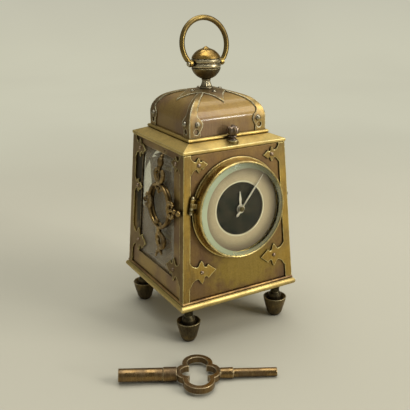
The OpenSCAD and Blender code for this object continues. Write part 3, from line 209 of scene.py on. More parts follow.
class Effects:
    """The shader node groups that the finishes share, and the numbers in them."""

    SAMPLES = 6
    EDGE_TURN = (0.992, 0.86)
    EDGE_PATCHES = (0.3, 0.6, 0.3, 1.0)
    PATCH_SCALE = 420.0
    OPEN_AIR = (0.45, 0.9)
    SHELTER = (0.25, 0.95)
    WARP = 0.012
    BLOTCH_NOISE = (4.0, 0.6)
    BLOTCH_SOFTNESS = 0.16
    SPECK_NOISE = (1400.0, 5.0, 0.7)
    SPECK_RANGE = (0.35, 0.7)
    FINE_STREAKS, FINE_SHARE = (1.0, 2.0, 0.6), 0.6
    WIDE_STREAKS, WIDE_SHARE = (0.27, 2.0, 0.5), 0.4

    def __init__(self) -> None:
        """Builds every group once."""
        self.wear = self._wear()
        self.patina = self._patina()
        self.brush = self._brush()

    @staticmethod
    def _group(name: str, inputs: dict[str, str], outputs: dict[str, str]) -> tuple[Any, Graph, Any, Any]:
        """Starts a group with its named sockets.

        Args:
            name: the group's name.
            inputs: the kind of each input, by name.
            outputs: the kind of each output, by name.

        Returns:
            The node tree, its graph, its input node and its output node.
        """
        tree = bpy.data.node_groups.new(name, "ShaderNodeTree")
        for way, sockets in (("INPUT", inputs), ("OUTPUT", outputs)):
            for label, kind in sockets.items():
                tree.interface.new_socket(label, in_out=way, socket_type="NodeSocket" + kind)
        start, end = tree.nodes.new("NodeGroupInput"), tree.nodes.new("NodeGroupOutput")
        return tree, Graph(tree), start, end

    def _wear(self) -> bpy.types.NodeTree:
        """Makes the masks of worn edges with painted highlights and of hollows with dirt and painted shade, and a
        softened normal.

        Returns:
            The group.
        """
        tree, g, start, end = self._group(
            "Edge wear",
            {"Vector": "Vector", "Radius": "Float", "Reach": "Float"},
            {"Edge": "Float", "Hollow": "Float", "Normal": "Vector"},
        )
        bevel = g.add("Bevel", {"Radius": start.outputs["Radius"]}, samples=self.SAMPLES).outputs[0]
        flat = g.add("NewGeometry").outputs["Normal"]
        raw = g.spread(g.measure("DOT_PRODUCT", bevel, flat), *self.EDGE_TURN)
        patchy = g.spread(g.noise(start.outputs["Vector"], self.PATCH_SCALE), *self.EDGE_PATCHES)
        # Ambient occlusion dims the edges in hollows and gives the hollow mask, which takes dirt and painted shade.
        around = g.add("AmbientOcclusion", {"Distance": start.outputs["Reach"]}, samples=self.SAMPLES).outputs["AO"]
        edge = g.math("MULTIPLY", g.math("MULTIPLY", raw, patchy), g.spread(around, *self.OPEN_AIR))
        g.feed(end.inputs["Edge"], edge)
        g.feed(end.inputs["Hollow"], g.math("SUBTRACT", 1.0, g.spread(around, *self.SHELTER)))
        g.feed(end.inputs["Normal"], bevel)
        return tree

    def _patina(self) -> bpy.types.NodeTree:
        """Makes the masks of the large blotches and of the fine specks of an old surface.

        Returns:
            The group.
        """
        tree, g, start, end = self._group(
            "Patina",
            {"Vector": "Vector", "Scale": "Float", "Cover": "Float"},
            {"Blotch": "Float", "Speck": "Float"},
        )
        vector, scale = start.outputs["Vector"], start.outputs["Scale"]
        drift = g.add("TexNoise", {"Vector": vector, "Scale": scale}).outputs[1]
        warp = g.add("VectorMath", {0: drift, "Scale": self.WARP}, operation="SCALE").outputs[0]
        bent = g.add("VectorMath", {0: vector, 1: warp}, operation="ADD").outputs[0]
        large = g.noise(bent, scale, *self.BLOTCH_NOISE)
        shift = g.math("SUBTRACT", 1.0, start.outputs["Cover"])
        low, high = (g.math(way, shift, self.BLOTCH_SOFTNESS, clamp=False) for way in ("SUBTRACT", "ADD"))
        g.feed(end.inputs["Blotch"], g.spread(large, low, high))
        g.feed(end.inputs["Speck"], g.spread(g.noise(vector, *self.SPECK_NOISE), *self.SPECK_RANGE))
        return tree

    def _brush(self) -> bpy.types.NodeTree:
        """Makes fine streaks along one axis, as a file or a cloth leaves them.

        Returns:
            The group.
        """
        tree, g, start, end = self._group(
            "Brush marks", {"Vector": "Vector", "Stretch": "Vector"}, {"Streak": "Float"}
        )
        ends = {0: start.outputs["Vector"], 1: start.outputs["Stretch"]}
        drawn = g.add("VectorMath", ends, operation="MULTIPLY").outputs[0]
        fine = g.math("MULTIPLY", g.noise(drawn, *self.FINE_STREAKS), self.FINE_SHARE)
        wide = g.math("MULTIPLY", g.noise(drawn, *self.WIDE_STREAKS), self.WIDE_SHARE)
        g.feed(end.inputs["Streak"], g.math("ADD", fine, wide))
        return tree


class Finish:
    """A surface finish that makes one material."""

    name: str

    def material(self, effects: Effects) -> bpy.types.Material:
        """Makes the material.

        Args:
            effects: the shared node groups.

        Returns:
            The finished material.
        """
        material = bpy.data.materials.new(self.name)
        material.use_nodes = True
        g = Surface(material.node_tree)
        g.add("OutputMaterial", {"Surface": self.shader(g, effects)})
        return material

    def shader(self, g: Surface, effects: Effects) -> Socket:
        """Adds the nodes of the finish and gives the output of its shader."""
        raise NotImplementedError


class Grain(Enum):
    """The way that brush marks run, as the stretch of their pattern."""

    UPRIGHT = (2600.0, 2600.0, 90.0)
    ROUND = (1500.0, 1500.0, 1500.0)


@dataclass(frozen=True)
class Metal(Finish):
    """Old brass, copper, bronze or steel: its colour, patina, dirt with painted shade, and worn edges with painted
    highlights.

    The radius of the worn, highlighted edges and the place and size of the pool are in millimetres.
    """

    # How far round a raised part the dirt and painted shade of its hollows reach.
    HOLLOW_REACH = 2.6 * MM
    POOL_NOISE, POOL_RAGGED, POOL_EDGE = 260.0, 0.5, (1.15, 0.45)
    # How far a face turns to the side before it takes the painted side shade.
    SIDEWAYS = (0.5, 0.9)
    STREAK_RANGE = (0.35, 0.65)
    SPECK_TONE, STREAK_TONE, STREAK_ROUGH = 0.25, 0.07, 0.08
    COAT_ROUGH = 0.12

    name: str
    bare: str
    patina: str
    bright: str
    dirt: str = "2a2013"
    cover: float = 0.5
    blotch_scale: float = 90.0
    rough: float = 0.3
    patina_rough: float = 0.48
    wear: float = 0.8
    wear_radius: float = 0.75
    dirt_amount: float = 0.7
    grain: Grain = Grain.UPRIGHT
    marks: float = 0.12
    metallic: float = 1.0
    edge_metallic: float = 0.45
    coat: float = 0.0
    pool: str = ""
    pool_at: Triple = (0.0, 0.0, 0.0)
    pool_size: Triple = (1.0, 1.0, 1.0)
    pool_amount: float = 0.8
    side_tone: str = ""
    side_amount: float = 0.6

    def _pooled(self, g: Surface) -> Socket:
        """Makes the mask of the soft oval pool of another tone.

        Args:
            g: the material's node tree.

        Returns:
            The mask.
        """
        centre = tuple(-c / size for c, size in zip(self.pool_at, self.pool_size))
        scale = tuple(1 / (size * MM) for size in self.pool_size)
        near = g.add("Mapping", {"Vector": g.place, "Location": centre, "Scale": scale}, vector_type="POINT")
        away = g.measure("LENGTH", near.outputs[0])
        ragged = g.math("ADD", away, g.noise(g.place, self.POOL_NOISE), clamp=False)
        ragged = g.math("SUBTRACT", ragged, self.POOL_RAGGED, clamp=False)
        return g.math("MULTIPLY", g.spread(ragged, *self.POOL_EDGE), self.pool_amount)

    def shader(self, g: Surface, effects: Effects) -> Socket:
        """Adds the nodes of the finish.

        Args:
            g: the material's node tree.
            effects: the shared node groups.

        Returns:
            The output of its shader.
        """
        wear = g.group(effects.wear, Radius=self.wear_radius * MM, Reach=self.HOLLOW_REACH)
        patina = g.group(effects.patina, Scale=self.blotch_scale, Cover=self.cover)
        streak = g.spread(g.group(effects.brush, Stretch=self.grain.value)["Streak"], *self.STREAK_RANGE)
        worn = g.math("MULTIPLY", wear["Edge"], self.wear)
        colour = g.blend(patina["Blotch"], srgb(self.bare), srgb(self.patina))
        if self.pool:
            colour = g.blend(self._pooled(g), colour, srgb(self.pool))
        # Painted shade, with a little darker patina, on the faces that look to either side.
        if self.side_tone:
            normal = g.add("TexCoord").outputs["Normal"]
            facing = g.math("ABSOLUTE", g.add("SeparateXYZ", {0: normal}).outputs["X"])
            sideways = g.spread(facing, *self.SIDEWAYS, 0.0, self.side_amount)
            colour = g.blend(sideways, colour, srgb(self.side_tone))
        # Dirt specks, lighter brush streaks, and dirt with painted shade in the hollows.
        for mask, amount, tone in (
            (patina["Speck"], self.SPECK_TONE, self.dirt),
            (streak, self.STREAK_TONE, self.bright),
            (wear["Hollow"], self.dirt_amount, self.dirt),
        ):
            colour = g.blend(g.math("MULTIPLY", mask, amount), colour, srgb(tone))
        # Worn edges in the bright tone, which also stand for painted highlights along the edges.
        colour = g.blend(worn, colour, srgb(self.bright))
        rough = g.spread(patina["Blotch"], 0.0, 1.0, self.rough, self.patina_rough)
        rough = g.math("ADD", rough, g.math("MULTIPLY", streak, self.STREAK_ROUGH))
        height = g.math("ADD", g.math("MULTIPLY", streak, 0.5), g.math("MULTIPLY", patina["Speck"], 0.5))
        bump = {"Strength": self.marks, "Distance": RELIEF, "Height": height, "Normal": wear["Normal"]}
        shader = g.add("BsdfPrincipled", {
            "Base Color": colour,
            "Roughness": rough,
            "Metallic": g.spread(worn, 0.0, 1.0, self.metallic, self.edge_metallic),
            "Normal": g.add("Bump", bump).outputs[0],
            "Coat Weight": self.coat,
            "Coat Roughness": self.COAT_ROUGH,
        })
        return shader.outputs[0]


@dataclass(frozen=True)
class Glass(Finish):
    """Clear old glass with a faint tint, which lets the lamps through.

    Bevelled facets get a painted reflection, and a side pane gets patches of painted reflection as a hazy pale tone.
    """

    # The patches of painted reflection on a pane.
    FILM_SCALE, FILM_COVER, FILM_RANGE = 130.0, 0.5, (0.8, 1.2)
    BEVEL_TURN = (0.995, 0.975)
    # The painted reflection on the facets: its change from pale to dark across the pane, and its strength from left to
    # right.
    BEVEL_TONES = (-18 * MM, 16 * MM)
    BEVEL_LIGHT = (18 * MM, -20 * MM, 0.36, 0.66)
    GLEAM, GLEAM_ROUGH, GLEAM_SHARE = "f4f8f0", 0.06, 0.34

    name: str
    tint: str = "eef3ee"
    rough: float = 0.01
    bevel: str = ""
    bevel_shade: str = "868458"
    facing: Triple = (0.0, -0.99822, 0.05970)
    ior: float = 1.35
    film: str = ""
    film_amount: float = 0.3

    def _bevelled(self, g: Surface, surface: Socket) -> Socket:
        """Adds the painted reflection and the glossy gleam on the facets of a bevelled edge.

        Args:
            g: the material's node tree.
            surface: the shader of the clear glass.

        Returns:
            The shader with the facets.
        """
        flat = g.add("NewGeometry").outputs["True Normal"]
        along = g.math("ABSOLUTE", g.measure("DOT_PRODUCT", flat, self.facing))
        across = g.add("SeparateXYZ", {0: g.place}).outputs["X"]
        tone = g.blend(g.spread(across, *self.BEVEL_TONES), srgb(self.bevel), srgb(self.bevel_shade))
        tilt = g.math("MULTIPLY", g.spread(along, *self.BEVEL_TURN), g.spread(across, *self.BEVEL_LIGHT))
        milk = g.add("BsdfDiffuse", {"Color": tone})
        gleam = g.add("BsdfGlossy", {"Color": srgb(self.GLEAM), "Roughness": self.GLEAM_ROUGH})
        facet = g.add("MixShader", {0: self.GLEAM_SHARE, 1: milk.outputs[0], 2: gleam.outputs[0]})
        return g.add("MixShader", {0: tilt, 1: surface, 2: facet.outputs[0]}).outputs[0]

    def shader(self, g: Surface, effects: Effects) -> Socket:
        """Adds the nodes of the finish.

        Args:
            g: the material's node tree.
            effects: the shared node groups.

        Returns:
            The output of its shader.
        """
        surface = g.add("BsdfPrincipled", {
            "Base Color": srgb(self.tint),
            "Roughness": self.rough,
            "Transmission Weight": 1.0,
            "IOR": self.ior,
        }).outputs[0]
        if self.bevel:
            surface = self._bevelled(g, surface)
        # Painted reflection: patches of a hazy pale tone over the pane.
        if self.film:
            patina = g.group(effects.patina, Scale=self.FILM_SCALE, Cover=self.FILM_COVER)
            haze = g.spread(patina["Blotch"], 0.0, 1.0, *(share * self.film_amount for share in self.FILM_RANGE))
            dull = g.add("BsdfDiffuse", {"Color": srgb(self.film)})
            surface = g.add("MixShader", {0: haze, 1: surface, 2: dull.outputs[0]}).outputs[0]
        clear = g.add("BsdfTransparent", {"Color": srgb(self.tint)})
        shadow = g.add("LightPath").outputs["Is Shadow Ray"]
        mix = g.add("MixShader", {0: shadow, 1: surface, 2: clear.outputs[0]})
        return mix.outputs[0]


@dataclass(frozen=True)
class DialFace(Finish):
    """A matt silvered or enamelled dial, browner towards its rim with tarnish and painted shade from the bezel.

    The middle and the radii are in millimetres. A thin painted highlight runs round at the glint radius, where this
    isn't nought.
    """

    PATINA_SCALE, PATINA_COVER = 160.0, 0.5
    STAINS = (("Blotch", 0.16, "6d5f48"), ("Speck", 0.10, "3a3226"))
    # The painted highlight on the chapter ring's inner edge: its colour, share and soft width.
    LINE, LINE_SHARE, LINE_EDGE = "c8bea6", 0.7, (0.4 * MM, 0.15 * MM)
    MARKS = 0.08
    SPECK_ROUGH = 0.12

    name: str
    inner: str
    outer: str
    centre: Triple
    inner_r: float
    outer_r: float
    rough: float = 0.5
    metallic: float = 0.35
    line_r: float = 0.0
    sheen: float = 0.3

    def shader(self, g: Surface, effects: Effects) -> Socket:
        """Adds the nodes of the finish.

        Args:
            g: the material's node tree.
            effects: the shared node groups.

        Returns:
            The output of its shader.
        """
        away = g.measure("DISTANCE", g.place, tuple(c * MM for c in self.centre))
        # The rim darkens: tarnish with painted shade from the bezel.
        rim = g.spread(away, self.inner_r * MM, self.outer_r * MM)
        patina = g.group(effects.patina, Scale=self.PATINA_SCALE, Cover=self.PATINA_COVER)
        colour = g.blend(rim, srgb(self.inner), srgb(self.outer))
        for mask, amount, tone in self.STAINS:
            colour = g.blend(g.math("MULTIPLY", patina[mask], amount), colour, srgb(tone))
        # A thin painted highlight along the inner edge of the chapter ring.
        if self.line_r:
            off = g.math("ABSOLUTE", g.math("SUBTRACT", away, self.line_r * MM, clamp=False))
            line = g.math("MULTIPLY", g.spread(off, *self.LINE_EDGE), self.LINE_SHARE)
            colour = g.blend(line, colour, srgb(self.LINE))
        bump = g.add("Bump", {"Strength": self.MARKS, "Distance": RELIEF, "Height": patina["Speck"]})
        shader = g.add("BsdfPrincipled", {
            "Base Color": colour,
            "Roughness": g.spread(patina["Speck"], 0.0, 1.0, self.rough, self.rough + self.SPECK_ROUGH),
            "Normal": bump.outputs[0],
            "Metallic": self.metallic,
            "Specular IOR Level": self.sheen,
        })
        return shader.outputs[0]


@dataclass(frozen=True)
class Paper(Finish):
    """The pale sweep of paper that the clock stands on.

    The camera sees plain paper with its shadows near the clock, and farther off an even tone that changes from the
    front to behind and up the wall.
    """

    CLOUDS, CLOUD_RANGE, CLOUD_SHARE = (3.0, 2.0), (0.3, 0.7), 0.15
    ROUGH, SPECULAR = 0.85, 0.2
    DEPTH_RANGE = (-0.15, 0.35)
    WALL_RANGE = (0.0, 0.3)
    EVEN_RANGE = (0.13, 0.55)

    name: str = "Studio sweep"
    colour: str = "b8b4a3"
    shade: str = "b2ae9d"
    front: str = "c1bca8"
    behind: str = "cac8b3"
    wall: str = "bab8a9"
    ahead: Triple = (0.4927, 0.8702, 0.0)

    def shader(self, g: Surface, effects: Effects) -> Socket:
        """Adds the nodes of the finish.

        Args:
            g: the material's node tree.
            effects: the shared node groups; not used.

        Returns:
            The output of its shader.
        """
        cloud = g.spread(g.noise(g.place, *self.CLOUDS), *self.CLOUD_RANGE)
        height = g.add("SeparateXYZ", {0: g.place}).outputs["Z"]
        paper = g.add("BsdfPrincipled", {
            "Base Color": g.blend(cloud, srgb(self.colour), srgb(self.shade)),
            "Roughness": self.ROUGH,
            "Specular IOR Level": self.SPECULAR,
        })
        along = g.measure("DOT_PRODUCT", g.place, self.ahead)
        even = g.blend(g.spread(along, *self.DEPTH_RANGE), srgb(self.front), srgb(self.behind))
        even = g.blend(g.spread(height, *self.WALL_RANGE), even, srgb(self.wall))
        even = g.blend(g.math("MULTIPLY", cloud, self.CLOUD_SHARE), even, srgb(self.shade))
        glow = g.add("Emission", {"Color": even})
        path = g.add("LightPath").outputs
        direct = g.math("MAXIMUM", path["Is Camera Ray"], path["Is Transmission Ray"])
        seen = g.math("MULTIPLY", direct, g.spread(g.measure("LENGTH", g.place), *self.EVEN_RANGE))
        mix = g.add("MixShader", {0: seen, 1: paper.outputs[0], 2: glow.outputs[0]})
        return mix.outputs[0]


# The middle of the dial, in millimetres.
DIAL_MIDDLE = (0.0, -31.8, 67.1)

FINISHES: dict[str, Finish] = {
    "brass_moulding": Metal("Brass moulding", "ccb470", "a28a54", "f6efb4", cover=0.42, rough=0.4),
    "copper_bead": Metal("Copper bead", "b8965e", "7c6044", "dcc090", rough=0.4),
    # Painted shade: a near-black band round the feet's necks under the base.
    "dark_bronze": Metal("Dark bronze", "806a3e", "463c2c", "e8d8a4", cover=0.55, rough=0.34, wear=0.9, wear_radius=0.5,
        pool="17150e", pool_at=(0.0, 0.0, 15.6), pool_size=(90.0, 90.0, 5.4), pool_amount=0.9),
    # Painted shade: darker near the tops of the posts, under the top plate, and on the faces that look to either side.
    "brass_posts": Metal("Brass posts", "a88840", "80683a", "fff2a8", cover=0.45, rough=0.34, blotch_scale=60.0,
        pool="6a5634", pool_at=(0.0, 0.0, 99.0), pool_size=(160.0, 160.0, 20.0), pool_amount=0.6,
        side_tone="6e5638", side_amount=0.8, wear=1.0),
    # Near-black dirt with painted shade in the hollows round the posts' terminals.
    "copper_panel": Metal("Copper panel", "84693e", "6c5440", "d8bc80", "1a120a", rough=0.42,
        blotch_scale=45.0, dirt_amount=1.0,
        pool="98823e", pool_at=(4.0, -32.0, 36.0), pool_size=(24.0, 12.0, 14.0)),
    "rivets": Metal("Rivet heads", "a48e74", "745e4a", "fbe8d8", cover=0.4, rough=0.2, blotch_scale=200.0),
    "silver_rivets": Metal("Silvery rivet heads", "aca286", "847a62", "ffffff", cover=0.4, rough=0.18,
        blotch_scale=200.0, dirt_amount=1.0),
    # Painted shade: a near-black strip down the back edge of each side frame.
    "copper_frames": Metal("Copper frames", "b0965e", "947a60", "dcc8a0", rough=0.42, blotch_scale=60.0,
        pool="10120a", pool_at=(0.0, 21.2, 70.0), pool_size=(300.0, 6.0, 38.0), pool_amount=0.97),
    # Painted reflection: a hazy pale tone over the side panes.
    "side_glass": Glass("Side glass", "f6f8f0", ior=1.22, film="d4c6ae", film_amount=0.21),
    # Near-black dirt with painted shade in the ornament's hollows, and worn edges with painted highlights.
    "ornament": Metal("Ornament bronze", "a0834e", "54422c", "f6dca4", "120e08", rough=0.2,
        wear=0.55, wear_radius=0.4, dirt_amount=1.0, edge_metallic=0.9),
    "door_glass": Glass("Door glass", "f8faf6"),
    "brass_small": Metal("Turned brass", "a8925a", "7c6a3c", "f4eab4", cover=0.4, rough=0.26, blotch_scale=160.0),
    "brass_top": Metal("Top plate brass", "d0b46a", "a28a52", "f4ecb4", cover=0.42, rough=0.38, blotch_scale=50.0),
    # Painted shade: a mauve-brown patch on the lower left of the dome's front.
    "copper_dome": Metal("Dome bronze", "927438", "745440", "f2e0a0", cover=0.45, rough=0.5, blotch_scale=34.0,
        marks=0.02, patina_rough=0.56, dirt_amount=0.35, metallic=0.6, coat=0.28,
        pool="7e6450", pool_at=(-14.0, -20.0, 104.0), pool_size=(26.0, 16.0, 8.0), pool_amount=0.6),
    # Strap and star edges in the bright tone: wear with painted highlights.
    "brass_straps": Metal("Strap brass", "9a7e42", "765e40", "fffbd4", rough=0.34, blotch_scale=70.0,
        dirt_amount=0.4, wear=1.0, wear_radius=0.95, metallic=0.85, edge_metallic=0.2),
    "pale_metal": Metal("Pale metal", "c4b690", "887a58", "fffcec", cover=0.45, rough=0.22, blotch_scale=160.0,
        dirt_amount=1.0),
    "brass_cap": Metal("Cap brass", "a4823c", "74582c", "ffecac", cover=0.45, rough=0.16, blotch_scale=120.0, wear=0.35,
        wear_radius=0.4),
    "brass_ring": Metal("Ring brass", "846e3a", "604e30", "d8c480", cover=0.45, rough=0.22, blotch_scale=70.0, wear=0.0,
        wear_radius=0.12, marks=0.02, dirt_amount=0.2),
    "button_bronze": Metal("Button bronze", "7c6848", "463a2a", "f8e0d0", rough=0.16, blotch_scale=160.0),
    "steel": Metal("Plain steel", "9a9a98", "7c7a74", "e0e0dc", cover=0.3, rough=0.25, blotch_scale=160.0),
    # Painted shade: a dark patch on the bezel's left side by the hinge.
    "brass_bezel": Metal("Bezel brass", "d2b468", "9a7e48", "fff4b8", cover=0.42, rough=0.2, blotch_scale=70.0,
        pool="2c2416", pool_at=(-27.5, -33.0, 67.0), pool_size=(3.6, 9.0, 9.0), pool_amount=0.9),
    # Painted reflection: pale mint facets on the bevel of the dial glass.
    "dial_glass": Glass("Dial glass", "f8fbf6", ior=1.15, bevel="d2e6ba"),
    # Painted shade darkens the dial towards its rim, and a painted highlight rings the chapter ring's inner edge.
    "dial_silver": DialFace("Silvered dial", "a08e72", "5a4c3c", DIAL_MIDDLE, 14.5, 21.8, metallic=0.1, line_r=13.6),
    "dial_dark": DialFace("Dark dial middle", "15170f", "12130f", DIAL_MIDDLE, 0.0, 13.0, rough=0.45, metallic=0.0,
        sheen=0.08),
    "hands": Metal("Pale hands", "e0d4c4", "c0b4a0", "fffaf4", cover=0.3, rough=0.35, blotch_scale=300.0,
        dirt_amount=0.1),
    "movement_brass": Metal("Movement brass", "9c8a58", "786842", "e0d4a0", cover=0.4, grain=Grain.ROUND),
    "platform_steel": Metal("Plated steel", "a8a8a4", "8a8880", "ecece8", cover=0.3, rough=0.25, blotch_scale=160.0),
    "key_bronze": Metal("Key bronze", "84683e", "584430", "ffecbc", rough=0.22, blotch_scale=80.0, wear=0.5),
}


class Side(Enum):
    """The two side faces of the case, as the sign of X."""

    LEFT = -1
    RIGHT = 1


@dataclass
class Case:
    """The sizes of the case that placed pieces need, in millimetres."""

    foot_half: float = 32.5
    top_half: float = 28.2
    foot_z: float = 24.1
    height: float = 71.9
    slope: float = field(init=False)

    def __post_init__(self) -> None:
        """Works out the slope of the faces."""
        self.slope = math.atan2(self.foot_half - self.top_half, self.height)

    def face(self, turn: int) -> Matrix:
        """Gives the frame of a face.

        Args:
            turn: 0 front, 1 right, 2 back, 3 left.

        Returns:
            The matrix from the face's frame (x across, y up the slope, z outwards, in mm) to metres.
        """
        seat = Matrix.Translation((0, -self.foot_half, self.foot_z))
        tilt = Matrix.Rotation(QUARTER - self.slope, 4, "X")
        spin = Matrix.Rotation(QUARTER * turn, 4, "Z")
        return Matrix.Scale(MM, 4) @ spin @ seat @ tilt


class Workshop:
    """Makes finished objects from bmesh data and keeps the materials."""

    def __init__(self) -> None:
        """Builds the shared effects and one material per slot of the record."""
        self.effects = Effects()
        self.materials = {slot: finish.material(self.effects) for slot, finish in FINISHES.items()}

    def piece(self, name: str, mesh: bmesh.types.BMesh, slot: str, body: str, angle: float = 35.0) -> bpy.types.Object:
        """Makes an object from a bmesh, dresses it and lets it ride on a body.

        Args:
            name: the object's name.
            mesh: the bmesh, in metres; it is freed.
            slot: the record's material slot.
            body: the CAD body it rides on.
            angle: edges sharper than this many degrees stay sharp.

        Returns:
            The new object.
        """
        bmesh.ops.remove_doubles(mesh, verts=mesh.verts, dist=JOIN_FINISHED)
        bmesh.ops.recalc_face_normals(mesh, faces=mesh.faces)
        limit = math.radians(angle)
        for face in mesh.faces:
            face.smooth = True
        for edge in mesh.edges:
            edge.smooth = len(edge.link_faces) == 2 and edge.calc_face_angle(math.pi) < limit
        data = bpy.data.meshes.new(name)
        mesh.to_mesh(data)
        mesh.free()
        item = shown(name, data)
        data.materials.append(self.materials[slot])
        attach(item, body)
        LOG.info("%s: %d faces, on %s", name, len(data.polygons), body)
        return item

    def dress(self, frame: dict[str, Any]) -> None:
        """Gives every CAD node the material of its slot in the record.
        """
        slots = {entry["node"]: entry["material_slot"] for entry in frame["record"]["subparts"]}
        for name, node in frame["nodes"].items():
            node.data.materials.clear()
            node.data.materials.append(self.materials[slots[name]])
        LOG.info("dressed %d CAD nodes", len(frame["nodes"]))


@dataclass(frozen=True)
class Bead:
    """An oval bead: its middle, its three half widths, and its turn about the third axis in degrees."""

    SEGMENTS, RINGS = 16, 10

    place: Triple
    size: Triple
    turn: float = 0.0

    def draw(self, mesh: bmesh.types.BMesh, lift: float) -> None:
        """Adds the bead to a mesh.

        Args:
            mesh: the mesh, in millimetres.
            lift: its shift along the third axis.
        """
        x, y, z = self.place
        spin = Matrix.Rotation(math.radians(self.turn), 4, "Z")
        matrix = Matrix.Translation((x, y, z + lift)) @ spin @ Matrix.Diagonal((*self.size, 1.0))
        bmesh.ops.create_uvsphere(mesh, u_segments=self.SEGMENTS, v_segments=self.RINGS, radius=1.0, matrix=matrix)


@dataclass(frozen=True)
class Rod:
    """A round rod along a smooth path: the points that it passes and its radius at each of them.

    A point of two numbers has no height of its own.
    """

    SIDES, STEPS = 12, 4

    path: tuple[tuple[float, ...], ...]
    radii: tuple[float, ...]

    def draw(self, mesh: bmesh.types.BMesh, lift: float) -> None:
        """Adds the rod to a mesh.

        Args:
            mesh: the mesh, in millimetres.
            lift: its shift along the third axis.
        """
        frames = self._frames(*self._smooth([Vector((x, y, sum(z) + lift)) for x, y, *z in self.path]))
        made = bmesh.ops.create_circle(mesh, cap_ends=True, segments=self.SIDES, radius=1.0)["verts"]
        face = made[0].link_faces[0]
        bmesh.ops.transform(mesh, matrix=frames[0], verts=made)
        for before, after in zip(frames, frames[1:]):
            grown = bmesh.ops.extrude_face_region(mesh, geom=[face])["geom"]
            face = next(item for item in grown if isinstance(item, bmesh.types.BMFace))
            bmesh.ops.transform(mesh, matrix=after @ before.inverted(), verts=list(face.verts))

    def _smooth(self, points: list[Vector]) -> tuple[list[Vector], tuple[float, ...]]:
        """Fills in points along a Catmull-Rom curve.

        Args:
            points: the points to pass.

        Returns:
            The points of the smooth curve and the radii at them.
        """
        if len(points) < 3:
            return points, self.radii
        padded = [2 * points[0] - points[1], *points, 2 * points[-1] - points[-2]]
        out, sizes = [], []
        for k in range(len(points) - 1):
            a, b, c, d = padded[k : k + 4]
            for j in range(self.STEPS):
                t = j / self.STEPS
                square, cube = 2 * a - 5 * b + 4 * c - d, 3 * b - a - 3 * c + d
                out.append(0.5 * (2 * b + (c - a) * t + square * t**2 + cube * t**3))
                sizes.append(self.radii[k] * (1 - t) + self.radii[k + 1] * t)
        return [*out, points[-1]], (*sizes, self.radii[-1])

    @staticmethod
    def _frames(points: list[Vector], radii: tuple[float, ...]) -> list[Matrix]:
        """Gives a cross-section frame at every point, without twist.

        Args:
            points: the points of the smooth curve.
            radii: the radii at them.

        Returns:
            One matrix for each point.
        """
        frames = []
        side = (points[1] - points[0]).orthogonal()
        for k, (point, radius) in enumerate(zip(points, radii)):
            ahead = (points[min(k + 1, len(points) - 1)] - points[max(k - 1, 0)]).normalized()
            side = (side - side.dot(ahead) * ahead).normalized()
            matrix = Matrix((side * radius, ahead.cross(side) * radius, ahead * radius)).transposed().to_4x4()
            matrix.translation = point
            frames.append(matrix)
        return frames


@dataclass(frozen=True)
class Sprig:
    """Two curls and a bud on a stalk.

    It holds its direction from the upright in degrees, the distance of its foot from the ring's middle, its scale,
    and the distance of the bud from the foot before scaling.
    """

    CURL = ((0.0, 0.2), (1.8, 1.0), (3.5, 2.8), (4.0, 5.0), (3.0, 6.6), (1.8, 6.0))
    CURL_RADII = (1.0, 1.2, 1.3, 1.2, 1.0, 0.7)
    STALK_FOOT, STALK_MIDDLE, STALK_RADII = -0.6, 0.6, (0.9, 0.65, 0.8)
    LEAF_MIDDLE, LEAF_RISE, LEAF_SIZE = 0.55, 0.2, (1.15, 1.15, 1.0)
    BUD_RISE, BUD_SIZE = 0.1, (1.45, 1.45, 1.3)

    turn: float
    start: float
    size: float
    bud: float

    def draw(self, mesh: bmesh.types.BMesh, lift: float) -> None:
        """Adds the sprig to a mesh.

        Args:
            mesh: the mesh, in millimetres.
            lift: its shift along the third axis.
        """
        stalk = ((0, self.STALK_FOOT), (0, self.STALK_MIDDLE * self.bud), (0, self.bud))
        left_curl = tuple((-across, along) for across, along in self.CURL)
        for path, radii in ((left_curl, self.CURL_RADII), (self.CURL, self.CURL_RADII), (stalk, self.STALK_RADII)):
            Rod(tuple(self._at(*point) for point in path), self._scaled(radii)).draw(mesh, lift)
        leaf = self._at(0, self.LEAF_MIDDLE * self.bud, self.LEAF_RISE)
        Bead(leaf, self._scaled(self.LEAF_SIZE)).draw(mesh, lift)
        Bead(self._at(0, self.bud, self.BUD_RISE), self._scaled(self.BUD_SIZE)).draw(mesh, lift)

    def _at(self, across: float, along: float, rise: float = 0.0) -> Triple:
        """Gives a point in the frame of the face.

        Args:
            across: its distance beside the stalk, before scaling.
            along: its distance from the foot, before scaling.
            rise: its height over the ring.

        Returns:
            The point.
        """
        angle = math.radians(self.turn)
        ahead, beside = Vector((math.sin(angle), math.cos(angle))), Vector((math.cos(angle), -math.sin(angle)))
        spot = ahead * (self.start + along * self.size) + beside * across * self.size
        return (spot.x, spot.y, rise)

    def _scaled(self, numbers: tuple[float, ...]) -> tuple[float, ...]:
        """Scales numbers by the sprig's size."""
        return tuple(number * self.size for number in numbers)


Shape = Bead | Rod | Sprig


